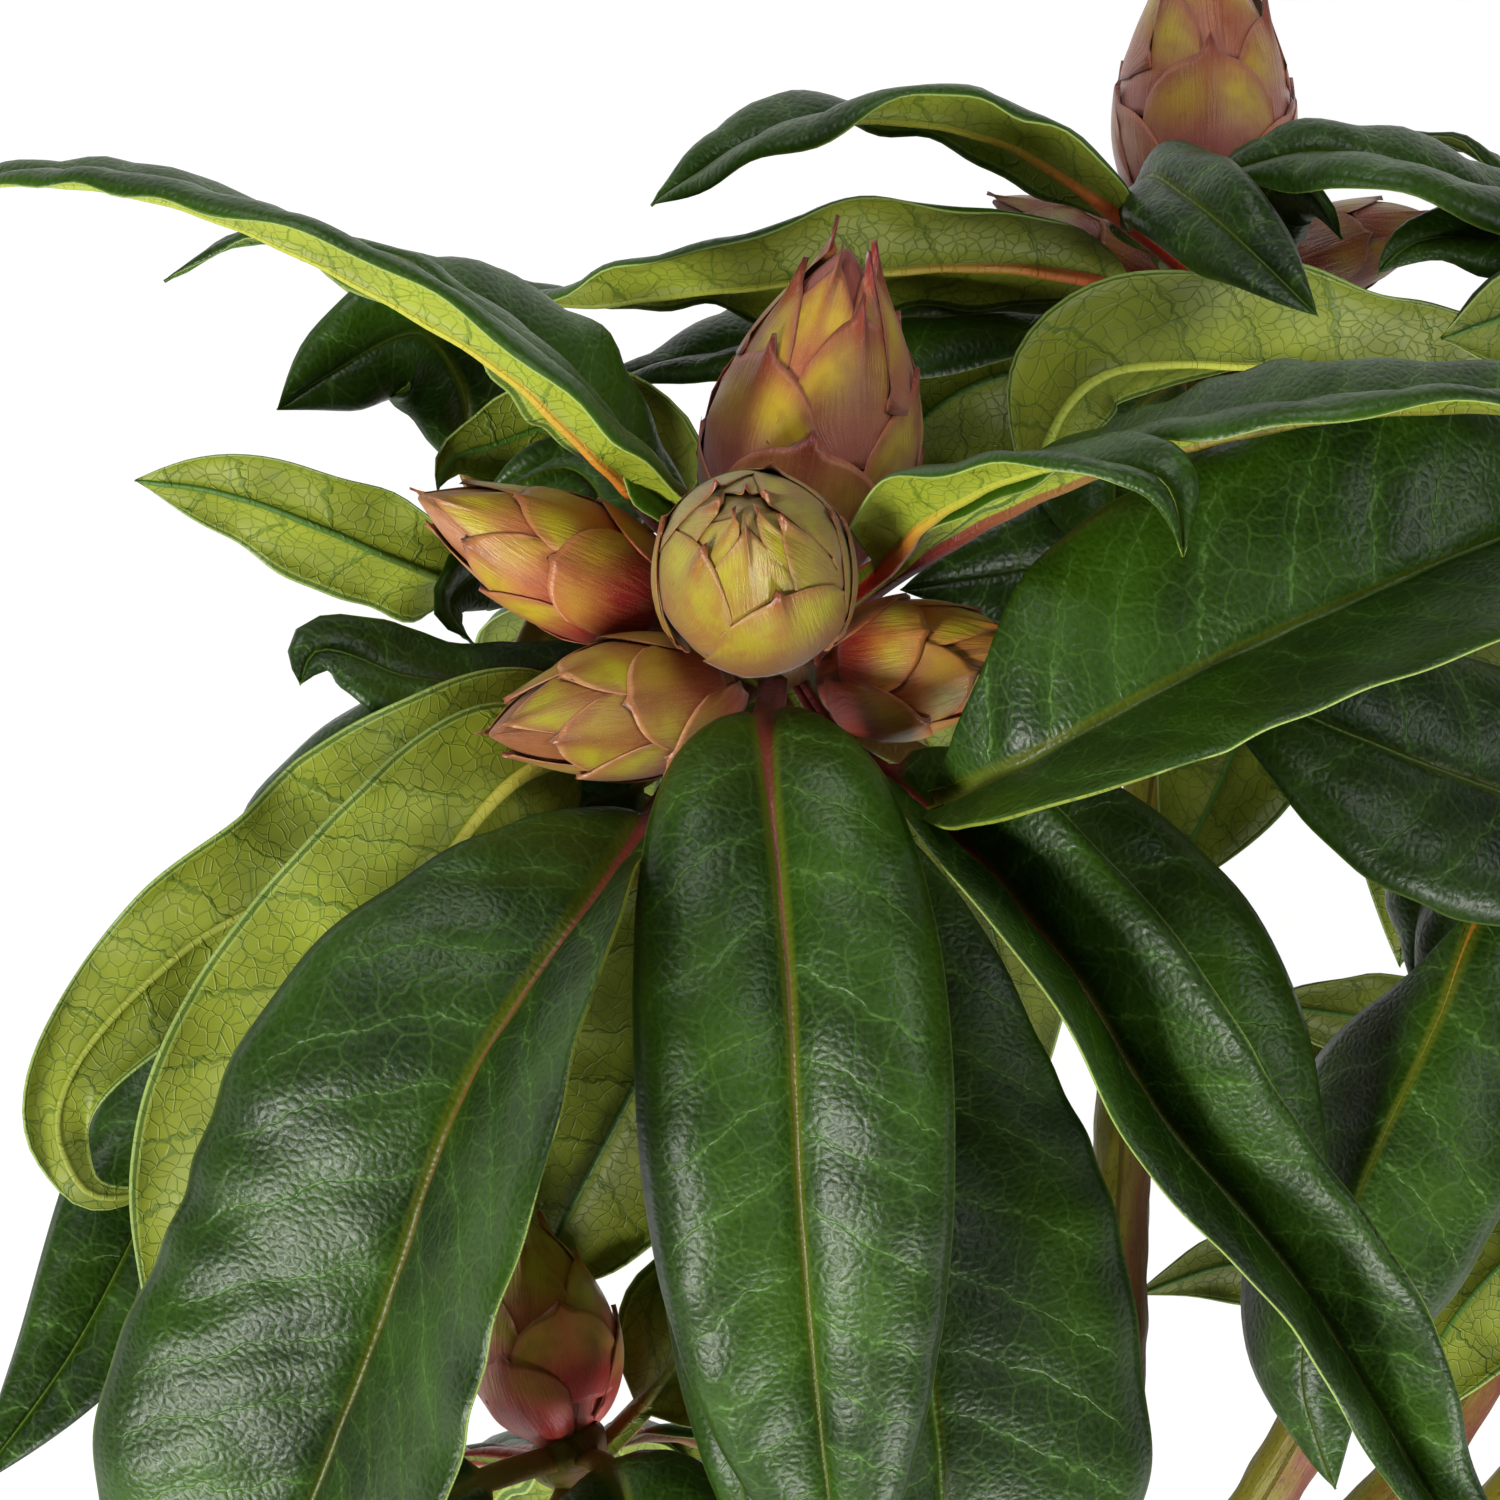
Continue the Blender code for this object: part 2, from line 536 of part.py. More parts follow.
def bud_core(name, base, tip, width, grow, look, collection):
    """The bud's turned core, made larger all round by grow."""
    place, length = bud_place(base, tip)
    mesh = bpy.data.meshes.new(name)
    profile = []
    for i in range(BUD_ROWS + 1):
        t = 1 - i / BUD_ROWS
        radius = bud_radius(t, width) + grow if 0 < i < BUD_ROWS else 0.0
        profile.append((radius * MM, 0, (t * length + grow * (2 * t - 1)) * MM))
    mesh.from_pydata(profile, [(i, i + 1) for i in range(BUD_ROWS)], [])
    mesh.materials.append(look)
    made = bpy.data.objects.new(name, mesh)
    made.matrix_world = place
    collection.objects.link(made)
    turned = made.modifiers.new("turned", "SCREW")
    turned.steps = BUD_SIDES
    turned.render_steps = BUD_SIDES
    turned.use_merge_vertices = True
    turned.merge_threshold = 0.00005
    return as_mesh(made, collection)


def twig_axis(whorl):
    foot, head, radius = TWIGS[whorl]
    foot = true_place(foot)
    head = true_place(head)
    return foot, head, unit(head - foot), radius


def make_bough(name, whorl, look, collection):
    """One shoot from the fork to the foot of its whorl's twig, tapering along its length."""
    leaving, places = BOUGHS[whorl]
    fork = true_place(FORK)
    leaving = unit(np.array(leaving))
    foot, _, axis, radius = twig_axis(whorl)
    course = [fork + leaving * (KNOB_RADIUS + GAP), fork + leaving * (KNOB_RADIUS + 9)]
    course += [true_place(place) for place in places]
    course += [foot - axis * 6, foot - axis * GAP]
    path, _ = smooth_course(course, BOUGH_STEPS)
    path[-2] = path[-1] - axis * np.linalg.norm(path[-1] - path[-2])
    radii = np.linspace(BOUGH_START_RADIUS, radius + 0.1, BOUGH_STEPS)
    return as_mesh(tube(name, path, radii, look, collection), collection)


def make_main_stem(look, collection, tools):
    """The stem from its flat cut to the swollen knob where the shoots part."""
    places = [true_place(place) for place in MAIN_STEM]
    path, _ = smooth_course(places, 7)
    path[1] = path[0] + np.array((0, path[1][1] - path[0][1], 0))
    radii = np.linspace(*MAIN_RADII, len(path))
    stem = as_mesh(tube("main_stem", path, radii, look, collection), collection)
    tool = bmesh.new()
    bmesh.ops.create_uvsphere(tool, u_segments=12, v_segments=8, radius=KNOB_RADIUS * MM)
    mesh = bpy.data.meshes.new("knob")
    tool.to_mesh(mesh)
    tool.free()
    mesh.materials.append(look)
    knob = bpy.data.objects.new("knob", mesh)
    knob.location = true_place(FORK) * MM
    tools.objects.link(knob)
    boolean(stem, "UNION", tools)
    empty_group(tools)
    keep_largest(stem)
    return stem


def make_whorl(whorl, look, collection, tools):
    """A whorl of leaves on its twig, all joined, with a seat left free for each bud."""
    foot, head, axis, radius = twig_axis(whorl)
    path = np.array([foot + axis * t for t in np.linspace(0, np.linalg.norm(head - foot), 4)])
    twig = tube(f"leaves_{whorl}", path, np.linspace(radius, radius * 0.95, 4), look, collection)
    twig = as_mesh(twig, collection)
    tool = bmesh.new()
    bmesh.ops.create_icosphere(tool, subdivisions=2, radius=radius * RECEPTACLE * MM)
    mesh = bpy.data.meshes.new("receptacle")
    tool.to_mesh(mesh)
    tool.free()
    mesh.materials.append(look)
    end = bpy.data.objects.new("receptacle", mesh)
    end.location = head * MM
    tools.objects.link(end)
    for i, row in enumerate(LEAVES[whorl]):
        vertices, faces = leaf_solid(whorl, row)
        mesh_object(f"leaf_{i}", vertices, faces, look, tools)
    boolean(twig, "UNION", tools)
    empty_group(tools)
    for name, (base, tip, width) in BUDS.items():
        if np.linalg.norm(true_place(base) - head) < SEAT_REACH:
            bud_core(f"seat_{name}", base, tip, width, GAP, look, tools)
            boolean(twig, "DIFFERENCE", tools)
            empty_group(tools)
    keep_largest(twig)
    return twig


def stand_on_floor(items):
    """Set the whole branch down: its lowest point at z = 0 and its box centred on X and Y."""
    bpy.context.view_layer.update()
    corners = np.array([item.matrix_world @ Vector(corner) for item in items for corner in item.bound_box])
    low = corners.min(0)
    high = corners.max(0)
    origin = bpy.data.objects.new(f"{NAME}_origin", None)
    bpy.context.scene.collection.objects.link(origin)
    for item in items:
        item.parent = origin
    origin.location = (-(low[0] + high[0]) / 2, -(low[1] + high[1]) / 2, -low[2])


def main():
    clear_scene()
    parts = bpy.data.collections.new(NAME)
    tools = bpy.data.collections.new("joined_pieces")
    bpy.context.scene.collection.children.link(parts)
    bpy.context.scene.collection.children.link(tools)
    items = [make_main_stem(material("bark_main", BARK_COLOUR, 0.6), parts, tools)]
    for whorl in BOUGHS:
        items.append(make_bough(f"stem_{whorl}", whorl, material(f"bark_{whorl}", BARK_COLOUR, 0.55), parts))
    for name, bud in BUDS.items():
        items.append(bud_core(name, *bud, 0.0, material(f"scales_{name}", BUD_COLOUR, 0.45), parts))
    for whorl in LEAVES:
        items.append(make_whorl(whorl, material(f"foliage_{whorl}", LEAF_COLOUR, 0.4), parts, tools))
    for item in items:
        item.data.shade_smooth()
        item.data.set_sharp_from_angle(angle=math.radians(40))
    bpy.data.collections.remove(tools)
    stand_on_floor(items)


main()
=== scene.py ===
import json
import math

import bpy
import numpy as np
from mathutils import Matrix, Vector


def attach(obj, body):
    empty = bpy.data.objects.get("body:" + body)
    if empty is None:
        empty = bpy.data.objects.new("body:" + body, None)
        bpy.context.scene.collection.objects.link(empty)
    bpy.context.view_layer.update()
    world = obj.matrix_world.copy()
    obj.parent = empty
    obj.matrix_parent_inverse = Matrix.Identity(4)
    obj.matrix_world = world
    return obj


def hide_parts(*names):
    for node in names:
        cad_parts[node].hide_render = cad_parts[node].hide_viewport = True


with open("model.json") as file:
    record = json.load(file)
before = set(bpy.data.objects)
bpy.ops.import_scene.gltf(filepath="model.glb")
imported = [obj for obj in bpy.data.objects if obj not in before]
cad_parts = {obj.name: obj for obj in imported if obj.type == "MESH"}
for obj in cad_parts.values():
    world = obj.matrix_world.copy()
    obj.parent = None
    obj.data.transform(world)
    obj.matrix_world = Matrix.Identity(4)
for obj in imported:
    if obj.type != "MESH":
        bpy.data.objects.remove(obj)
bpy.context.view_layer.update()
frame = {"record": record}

# The looks of a cut rhododendron branch that lies on its back: leaves with veins, buds with scales, bark.
# Sizes are in millimetres in the branch's own frame until a mesh is made: X to the right, Y from the cut
# end to the top, Z up to the eye. Places are read from straight above at the scale of the plane z = 0,
# and true_place draws them in by their height.

MM = 0.001
EYE_HEIGHT = 600.0
VIEW_WIDTH = 150.0
SENSOR = 36.0
UP = np.array((0.0, 0.0, 1.0))

# Leaves: the half width of the stalk and of the very tip, the blade's thickness, the least width of a leaf
# with the finer grid, each grid's row length and its columns on one half, and the relief between the veins.
PETIOLE_HALF = 1.55
TIP_HALF = 0.06
BLADE_THICK = 0.42
FINE_WIDTH = 37.0
FINE_GRID = (0.9, 14)
PLAIN_GRID = (1.4, 8)
QUILT = 0.34
PUCKER = 0.16
VEIN_STEP = 8.6
VEIN_SLOPE = 0.38
VEIN_BEND = 0.014
VEIN_SWAY = 0.13

# Buds: the place of the greatest width, and the core's and the scales' share of that width.
FATTEST = 0.38
CORE_SHARE = 0.89
SCALE_SHARE = 0.93
SCALE_ROWS = 16
SCALE_COLUMNS = 19
BUD_SIDES = 32
GOLDEN_ANGLE = math.pi * (3 - math.sqrt(5))

# Stems
MAIN_RADII = (5.2, 4.6)
KNOB_RADIUS = 9.2
BOUGH_START_RADIUS = 3.4
STEM_SIDES = 40
STEM_RING_STEP = 0.9
KNUCKLE_STEP = 27

FORK = (35, -95, -65)
MAIN_STEM = [(37, -128, -68), (37, -119, -68), (36.3, -107, -66.5), FORK]

# Each shoot: how it leaves the fork, then the places it passes on its way to its whorl.
BOUGHS = {
    "rear": ((0.0, 1.0, -0.5), [(36, -70, -65), (37, -45, -62), (39, -15, -59), (42.5, 15, -57)]),
    "front": ((-0.35, 0.75, 0.75), [(25, -75, -54), (15, -40, -46), (8, -12, -37.5)]),
    "left": ((-0.8, 0.6, -0.25), [(15, -70, -66), (-3, -30, -63), (-14, -5, -60)]),
    "low_left": ((-1.0, -0.05, 0.3), [(15, -91, -61), (-5, -83, -56)]),
    "low_right": ((0.5, 0.6, 0.65), [(47, -82, -54), (56, -67, -48), (66, -45, -45)]),
    "right": ((0.85, 0.55, -0.2), [(58, -80, -69), (73, -62, -69), (82, -30, -66), (84.5, 5, -58)]),
    "low_back": ((0.6, 0.15, -0.85), [(58, -88, -80), (82, -68, -79)]),
}

# Each whorl's twig: its foot, its head and its radius.
TWIGS = {
    "front": ((5.0, 0.5, -31), (2.4, 11.0, -21), 3.2),
    "rear": ((44.6, 33.5, -56), (46, 47, -55), 3.0),
    "right": ((86, 28, -50), (88, 39, -46), 2.8),
    "left": ((-18.5, 9, -56), (-21.5, 21, -51), 2.6),
    "low_left": ((-14.5, -75, -50), (-18.5, -70, -48), 2.6),
    "low_right": ((86, -12, -43), (93, -4, -41), 2.8),
    "low_back": ((96.6, -46.8, -76), (101, -38, -73), 2.6),
}

# Each bud: its base, its tip, its greatest width, its colours, its number of scales, the length of the
# points, and how far its scales stand open.
BUDS = {
    "bud_front_top": ((3.6, 16.8, -24.2), (9.8, 50.5, -10), 23, "golden", 13, 3.0, 0.2),
    "bud_front_centre": ((1, 13, -13), (-0.5, 24, 19), 20.5, "green", 12, 3.0, 0.04),
    "bud_front_left": ((-7, 13.5, -18), (-33.5, 25.5, -8), 14, "crimson", 12, 0.9, 0.15),
    "bud_front_low_left": ((-2, 6, -17), (-26.3, 1.5, 3), 14.5, "brown", 13, 1.0, 0.2),
    "bud_front_right": ((7, 6.5, -17), (27.7, 10.5, -6), 14.5, "orange", 12, 1.0, 0.15),
    "bud_rear_top": ((45.3, 50, -54), (45.5, 82, -52), 20, "golden", 13, 3.0, 0.2),
    "bud_rear_left": ((42.5, 47, -58), (24, 55, -60), 9, "dark", 9, 0.8, 0.2),
    "bud_rear_right": ((50.5, 47.5, -57), (68.7, 53.2, -58), 10.5, "dark", 9, 0.8, 0.2),
    "bud_left": ((-21.5, 22.5, -50), (-16.5, 34, -45), 9.5, "brown", 9, 0.8, 0.2),
    # The low left bud's scale colours are painted brighter, as painted light for the shade of the leaves
    # above it.
    "bud_low_left": ((-19, -69, -48), (-22.5, -46.5, -46), 16.5, "rosy", 11, 1.6, 0.12),
}


PLAIN_LEAF = {"roll": (0, 0, 0), "fold": 14, "curl": 60, "stalk": 14, "wave": (0.6, 3, 0), "widest": 0.45,
              "tip": 2.2, "turn": 0.5, "slim": 0.0, "tone": 0.35, "rib": "olive", "back": False}


def leaf(along, course, width, **shape):
    """One leaf of a whorl, of this width, with a PLAIN_LEAF's shape where no other is given.

    along   where it leaves the twig, from foot 0 to head 1
    course  the places its midrib passes, the last one its tip
    roll    turn of the upper face about the midrib in degrees, at the base, at turn and at the tip
    fold    rise of each half from the midrib, and curl its bend down towards the margin, in degrees
    stalk   length of the petiole
    wave    height, number and phase of the margin's waves
    widest  place of the greatest width, and tip the fullness beyond it
    slim    how much of each half's width is missing near the base
    tone    from a dark old leaf 0 to a bright young one 1, and rib the colour of its petiole
    """
    return {**PLAIN_LEAF, "along": along, "course": course, "width": width, **shape}


LEAVES = {}
LEAVES["front"] = [
    leaf(0.9, [(2, 4, -13), (1.5, 3, -2), (4, -25, 12), (5, -45, 10), (9.5, -88, -9)], 34, fold=22, curl=76,
         stalk=20, widest=0.42, rib="mauve", tone=0.3),
    leaf(0.85, [(-4, 2, -19), (-8, -4.5, -15), (-10.5, -8, -6), (-19, -19, 8), (-27, -31, 11),
         (-38, -60, 6), (-55, -103, -12)], 50, roll=(44, 33, 28), fold=(34, 30), curl=(12, 32), stalk=26,
         widest=0.66, slim=(0.8, 0.25), rib="mauve", tone=0.25),
    leaf(0.9, [(8, 1.5, -19), (16, -4.5, -9), (33.5, -24, 3), (40, -35, 3), (54, -52, 1), (67, -73, -6),
         (79, -92, -17)], 28, roll=(-12, -12, -8), fold=(58, 66), curl=15, stalk=22, wave=(1.9, 3.4, 0.2),
         widest=0.36, tip=1.9, rib="wine", tone=0.2),
    leaf(0.6, [(11, -2.5, -22), (16, -5, -14), (20.5, -4.5, 1), (27, -1.5, 9), (45, 8, 12), (65, 17, 12),
         (95, 29, -4)], 42, roll=(-38, -28, -15), fold=(24, 44), curl=(40, 5), stalk=28, wave=(0.8, 2, 0),
         widest=0.55, slim=(0.9, 0.8)),
    leaf(0.95, [(13.5, 18.5, -12), (18, 23.3, 3), (35, 28.5, 22), (41.5, 27, 26), (43.4, 19.3, 25)], 17,
         roll=(-120, -115, -80), fold=30, curl=50, stalk=17, rib="orange", tone=0.75),
    leaf(0.75, [(12, 16, -21), (17, 19.4, -15), (60, 33.6, 19), (97, 33, 12)], 22, roll=(-90, -91, -88),
         fold=(45, 28), curl=(30, 70), stalk=22, rib="maroon", tone=0.6),
    leaf(0.95, [(-8, 22, -21), (-16, 30, -2), (-25, 38.5, 6), (-35, 44.5, 7), (-60, 55.5, 2),
         (-88, 56, -8)], 24, roll=(105, 95, 60), fold=30, curl=70, stalk=17, rib="orange", tone=0.75),
    leaf(0.8, [(-5, 18, -26), (-9, 23, -24), (-19, 37, -15), (-44, 52, -12)], 27, roll=(70, 75, 95),
         fold=34, stalk=15, tone=0.7),
    leaf(0.5, [(1, -15, -25), (2, -40, -20), (5, -80, -22), (6, -92, -26)], 26, fold=10, stalk=15,
         tone=0.6),
    leaf(0.4, [(-3, -6, -29), (-5, -15, -35), (-9.5, -29, -40), (-16, -42, -47), (-23, -55, -57)], 27,
         roll=(170, 175, 180), fold=12, curl=40, stalk=22, tone=0.6),
    leaf(0.6, [(9, -5, -17), (13.5, -38, -9), (19, -70, -13), (19, -98, -26)], 48, roll=(-15, -22, -20),
         fold=(14, 22), curl=(30, 50), stalk=18, widest=0.68, slim=(0.25, 0), tone=0.1),
    leaf(0.6, [(-12, 1, -22), (-24, -3.5, -10), (-32.3, -13.4, -5), (-50, -38, -5), (-57, -65, -14)], 26,
         roll=(165, 172, 180), fold=12, curl=45, stalk=25, rib="lemon", tone=0.5),
    leaf(0.75, [(-10, 7.5, -22), (-31, -4, -12), (-45, -13.5, -10), (-56.5, -20, -9), (-68.8, -40, -9),
         (-66.5, -44, -9), (-57.5, -43, -12)], 22, roll=(165, 172, 180), curl=40, stalk=22,
         wave=(2.2, 3.2, 0.4), widest=0.32, tip=1.1, rib="pale", tone=0.45),
    leaf(0.6, [(-12, 9, -25), (-27, 6.5, -22), (-34, 7.5, -20), (-44, 9.5, -16), (-45, 6.5, -15)], 18,
         roll=(50, 60, 30), fold=20, stalk=16),
    leaf(0.5, [(-10, -6, -24), (-14, -5.2, -22), (-23, -4.4, -25), (-30, -6, -30)], 8, stalk=20, rib="red",
         tone=1.0),
    leaf(0.4, [(-13, 5, -32), (-39, -4.5, -30), (-55, -24, -34)], 20, roll=(30, 20, 10), stalk=16),
    leaf(0.45, [(-19, -8, -21), (-37, -29, -16), (-54, -62, -14), (-57, -88, -22)], 26, roll=(10, 15, 15),
         stalk=18),
    leaf(0.4, [(19, -2, -28), (41, -20, -23), (47, -31, -21), (55, -57, -26)], 24, roll=(0, -10, -15),
         curl=70, stalk=18),
]
LEAVES["rear"] = [
    leaf(0.7, [(46, 46, -43), (35, 55, -36), (25, 61, -36), (3, 62, -35), (-10, 54.5, -38)], 22,
         roll=(125, 105, 50), fold=25, stalk=26, wave=(0.8, 3, 0), rib="orange", tone=0.65),
    leaf(0.6, [(40, 45.5, -48), (30, 48, -45), (-5, 46, -42), (-20, 45, -48), (-27, 47.5, -53)], 24,
         roll=(110, 118, 80), fold=25, curl=55, wave=(1.0, 3, 0.2), rib="orange", tone=0.65),
    leaf(0.45, [(36, 43.2, -57), (28, 43.8, -55), (-1, 40.5, -51), (-16, 36.5, -52)], 24, roll=(60, 55, 70),
         fold=20, tone=0.15),
    leaf(0.2, [(35, 37.5, -69), (25, 37.5, -70), (11, 27, -66)], 29, roll=(150, 155, 160), curl=50,
         stalk=10),
    leaf(0.8, [(41, 50, -45), (38, 55, -41), (39.5, 57.5, -35), (43.5, 55.5, -26), (56.8, 43.4, -12)], 12.5,
         fold=12, curl=50, wave=(1.3, 2.4, 0), turn=0.6, tone=0.1),
    leaf(0.9, [(50, 51, -43), (52, 56, -37), (56, 55.5, -32), (59, 51, -31)], 12, roll=(0, -10, 0),
         stalk=10, turn=0.6, tone=0.5),
    leaf(0.5, [(42, 37, -50), (38, 33, -46), (37, 18, -44)], 20, roll=(20, 10, 0), fold=12, stalk=8),
    leaf(0.35, [(58, 34, -56), (56.5, 36.5, -53), (50.5, 36, -50), (46.5, 32.5, -47)], 10,
         roll=(-90, 70, 70), fold=20, stalk=6),
    leaf(0.5, [(54, 28, -50), (51, 8, -49), (41, -15, -46)], 22, roll=(180, 170, 160), curl=50, stalk=10),
]
LEAVES["right"] = [
    leaf(0.45, [(65, 36.7, -35), (50, 38.6, -31), (33.5, 36.5, -29), (28, 25, -35)], 25,
         roll=(110, 113, 165), fold=38, curl=25, wave=(0.8, 3, 0), rib="orange", tone=0.4),
    leaf(0.8, [(83, 53, -34), (75, 55.5, -27), (56, 60, -27), (45.5, 57, -32)], 20, roll=(60, 70, 40),
         fold=22, curl=70, stalk=12, wave=(1.0, 3, 0.5)),
    leaf(0.9, [(82, 43, -38), (75, 51, -26), (65, 50, -24), (62.7, 47.6, -24)], 12, roll=(80, 80, 60),
         fold=24, stalk=10),
    leaf(0.5, [(78, 56, -63), (70, 61, -63), (63.6, 62.1, -63)], 9, roll=(80, 80, 80), fold=20, curl=50,
         stalk=10),
    leaf(0.7, [(85, 40, -26), (79, 44, -20), (69, 41.2, -17)], 22, roll=(150, 150, 150), curl=50, stalk=12),
    leaf(0.2, [(70, 21, -56), (45, 20, -52), (15, 16, -50)], 26, roll=(20, 10, -20), fold=12, stalk=12,
         tone=0.1),
]
LEAVES["left"] = [
    leaf(0.6, [(-26, 16.5, -43), (-30, 17.2, -35), (-55, 26.3, -27), (-61.5, 27, -28)], 15,
         roll=(140, 145, 150), curl=40, stalk=12, tone=0.55),
    leaf(0.8, [(-27.5, 27, -51), (-29, 37, -47), (-32.5, 41.5, -43), (-41.2, 38, -39), (-47.3, 34, -38)],
         16, roll=(10, 15, 20), curl=50),
    leaf(0.7, [(-28, 35, -60), (-51, 51, -58), (-58.7, 47, -57)], 14, roll=(90, 90, 90), fold=20),
    leaf(0.6, [(-12, 23, -45), (-11.5, 29, -40), (-18.5, 32.5, -36.5), (-26, 30.5, -34), (-30, 29, -33),
         (-31.3, 26, -33)], 16, roll=(160, 165, 175), curl=50, stalk=12, tip=1.6),
    leaf(0.9, [(-16, 20, -42), (-15, 25, -36), (-18, 28, -31), (-27, 24.5, -29)], 12, roll=(0, 10, 10),
         stalk=8),
    leaf(0.85, [(-24, 17.5, -41), (-28, 17, -34), (-30, 14.5, -31.5), (-27.4, 10.6, -31)], 8,
         roll=(30, 10, -20), stalk=8),
    leaf(0.5, [(-29, -3, -49), (-55, -36, -36), (-69, -62, -30), (-78, -74, -28)], 22, stalk=16, tone=0.2),
]
LEAVES["low_left"] = [
    leaf(0.8, [(-14, -72, -38), (-9, -95, -29), (-7, -110, -31)], 30, fold=12, stalk=10, tone=0.1),
    leaf(0.6, [(-11, -66, -52), (-5, -59.5, -51), (15, -58, -55)], 24, roll=(150, 150, 150), curl=50,
         stalk=10),
    leaf(0.9, [(-25, -72.5, -37), (-32, -75, -31), (-60, -95, -26)], 30, roll=(20, 20, 20), stalk=16),
    leaf(0.6, [(-22, -84, -39), (-24, -100, -36), (-28, -115, -38)], 28, stalk=12),
]
LEAVES["low_right"] = [
    leaf(0.9, [(85, -7, -30), (72, -3, -24), (57, 3, -20), (45, 8, -22)], 30, roll=(10, 20, 30), fold=12,
         stalk=10, tip=1.7, tone=0.1),
    leaf(0.4, [(81, -5, -49), (71, -8, -51), (67, -15, -51), (66.5, -24, -53)], 20, roll=(50, 60, 70),
         stalk=10),
    leaf(0.7, [(83, -8, -36), (74, -14.5, -33), (68.6, -27, -31), (60.5, -45, -30), (55, -62, -31),
         (58.5, -74, -34)], 34, roll=(0, -10, -10), fold=(14, -64), curl=(60, 20), stalk=20,
         slim=(0.2, 1.0), rib="amber", tone=0.2),
]
LEAVES["low_back"] = [
    leaf(0.8, [(80, -29, -77), (65, -27, -77), (50, -25, -76)], 16, roll=(155, 150, 150), curl=50,
         stalk=10),
    leaf(0.5, [(90, -36, -80), (75, -34, -84), (48, -31, -85)], 20, roll=(160, 160, 160), curl=50,
         stalk=10),
    leaf(0.3, [(92, -40, -80), (84, -46, -83), (60, -53, -83), (49, -51.2, -82), (38.5, -54.5, -81)], 18,
         roll=(150, 145, 150), curl=50, stalk=10),
    leaf(0.9, [(92, -38, -66), (85, -43, -60), (69, -59, -58), (65, -69, -58)], 22, roll=(180, 175, 170),
         curl=50, stalk=12),
]

# Each whorl's leaves on its far side: where each leaves the twig, its heading (0 to the right and 90
# straight away from the eye), how far its tip is from the twig, how far it hangs towards the cut end,
# and its width.
BACK_LEAVES = {
    "front": [(0.80, 66, 82, 50, 27), (0.70, 93, 74, 38, 25)],
    "rear": [(0.50, 60, 76, 14, 27), (0.70, 86, 84, 40, 29), (0.60, 108, 74, 24, 26)],
    "right": [(0.60, 5, 72, 35, 27), (0.40, 38, 80, 45, 30), (0.60, 72, 84, 40, 29),
              (0.50, 104, 78, 62, 28)],
    "left": [(0.20, 58, 80, 50, 27), (0.40, 86, 84, 45, 29)],
    "low_left": [(0.80, 62, 78, 35, 28), (0.60, 92, 84, 40, 30), (0.50, 124, 80, 45, 28),
                 (0.60, 156, 76, 50, 26)],
    "low_right": [(0.60, 2, 76, 40, 28), (0.40, 32, 80, 45, 29), (0.60, 60, 72, 35, 27)],
    "low_back": [(0.60, 15, 72, 40, 28), (0.40, 50, 66, 45, 28), (0.60, 90, 60, 30, 27)],
}


# Each petiole's colour, then its midrib's colour near the base, halfway and near the tip.
RIBS = {
    "mauve": ((128, 76, 76), (128, 56, 46), (92, 80, 24), (66, 96, 20)),
    "wine": ((112, 44, 44), (116, 44, 34), (66, 80, 18), (62, 96, 20)),
    "red": ((140, 50, 34), (120, 56, 32), (84, 92, 26), (76, 106, 30)),
    "orange": ((206, 60, 34), (206, 96, 36), (176, 176, 56), (150, 172, 60)),
    "amber": ((170, 60, 30), (176, 110, 30), (104, 128, 34), (72, 106, 28)),
    "maroon": ((100, 22, 24), (120, 44, 30), (130, 110, 36), (130, 150, 50)),
    "olive": ((124, 96, 40), (96, 100, 28), (72, 104, 28), (72, 112, 34)),
    "lemon": ((190, 176, 70), (204, 196, 78), (176, 182, 70), (152, 166, 64)),
    "pale": ((180, 176, 80), (164, 168, 66), (148, 156, 58), (136, 146, 54)),
}

# A bud's scales near its base, halfway and at its tip, their bright patches and edges, and their points.
SCALES = {
    # The golden colour near the base is partly the bud's own mauve-pink and partly painted light: it is made
    # brighter where the bud's lower part gets little light.
    "golden": ((174, 96, 94), (172, 98, 70), (146, 48, 42), (198, 168, 18), (184, 96, 76), (124, 20, 28)),
    "green": ((136, 88, 46), (136, 112, 28), (130, 108, 24), (156, 150, 4), (164, 96, 56), (120, 52, 30)),
    "crimson": ((136, 12, 24), (184, 104, 62), (176, 118, 70), (188, 172, 18), (190, 108, 70), (120, 40, 30)),
    "orange": ((144, 22, 18), (190, 100, 46), (176, 130, 40), (184, 164, 22), (198, 104, 60), (110, 36, 20)),
    # These colours are painted brighter than the bud's own rosy tones, as painted light for the low left bud,
    # which lies in the shade of the leaves above it.
    "rosy": ((196, 34, 50), (226, 126, 92), (196, 182, 30), (206, 190, 40), (220, 120, 92), (170, 34, 40)),
    "brown": ((136, 56, 34), (158, 102, 44), (160, 96, 60), (176, 168, 26), (186, 124, 84), (120, 50, 36)),
    "dark": ((90, 18, 18), (116, 52, 30), (112, 60, 36), (130, 116, 34), (128, 70, 50), (90, 30, 24)),
}

# Scales that face the eye on some buds: the turn of each from the eye to the right, in turns,
# and the place of its top.
FACING_SCALES = {
    "bud_front_top": [(-0.26, 0.38), (0.25, 0.42), (0.0, 0.50), (0.22, 0.64), (-0.12, 0.70), (0.08, 0.84),
                      (-0.2, 0.88), (0.16, 0.93), (-0.04, 0.95)],
    "bud_front_centre": [(-0.3, 0.58), (0.32, 0.62), (0.07, 0.74), (-0.16, 0.84), (0.24, 0.90), (-0.32, 0.92),
                         (0.5, 0.93), (0.01, 0.96), (0.2, 0.99), (-0.14, 1.0)],
    "bud_rear_top": [(0.2, 0.42), (-0.22, 0.45), (0.0, 0.60), (0.18, 0.72), (-0.14, 0.8), (0.03, 0.95)],
}


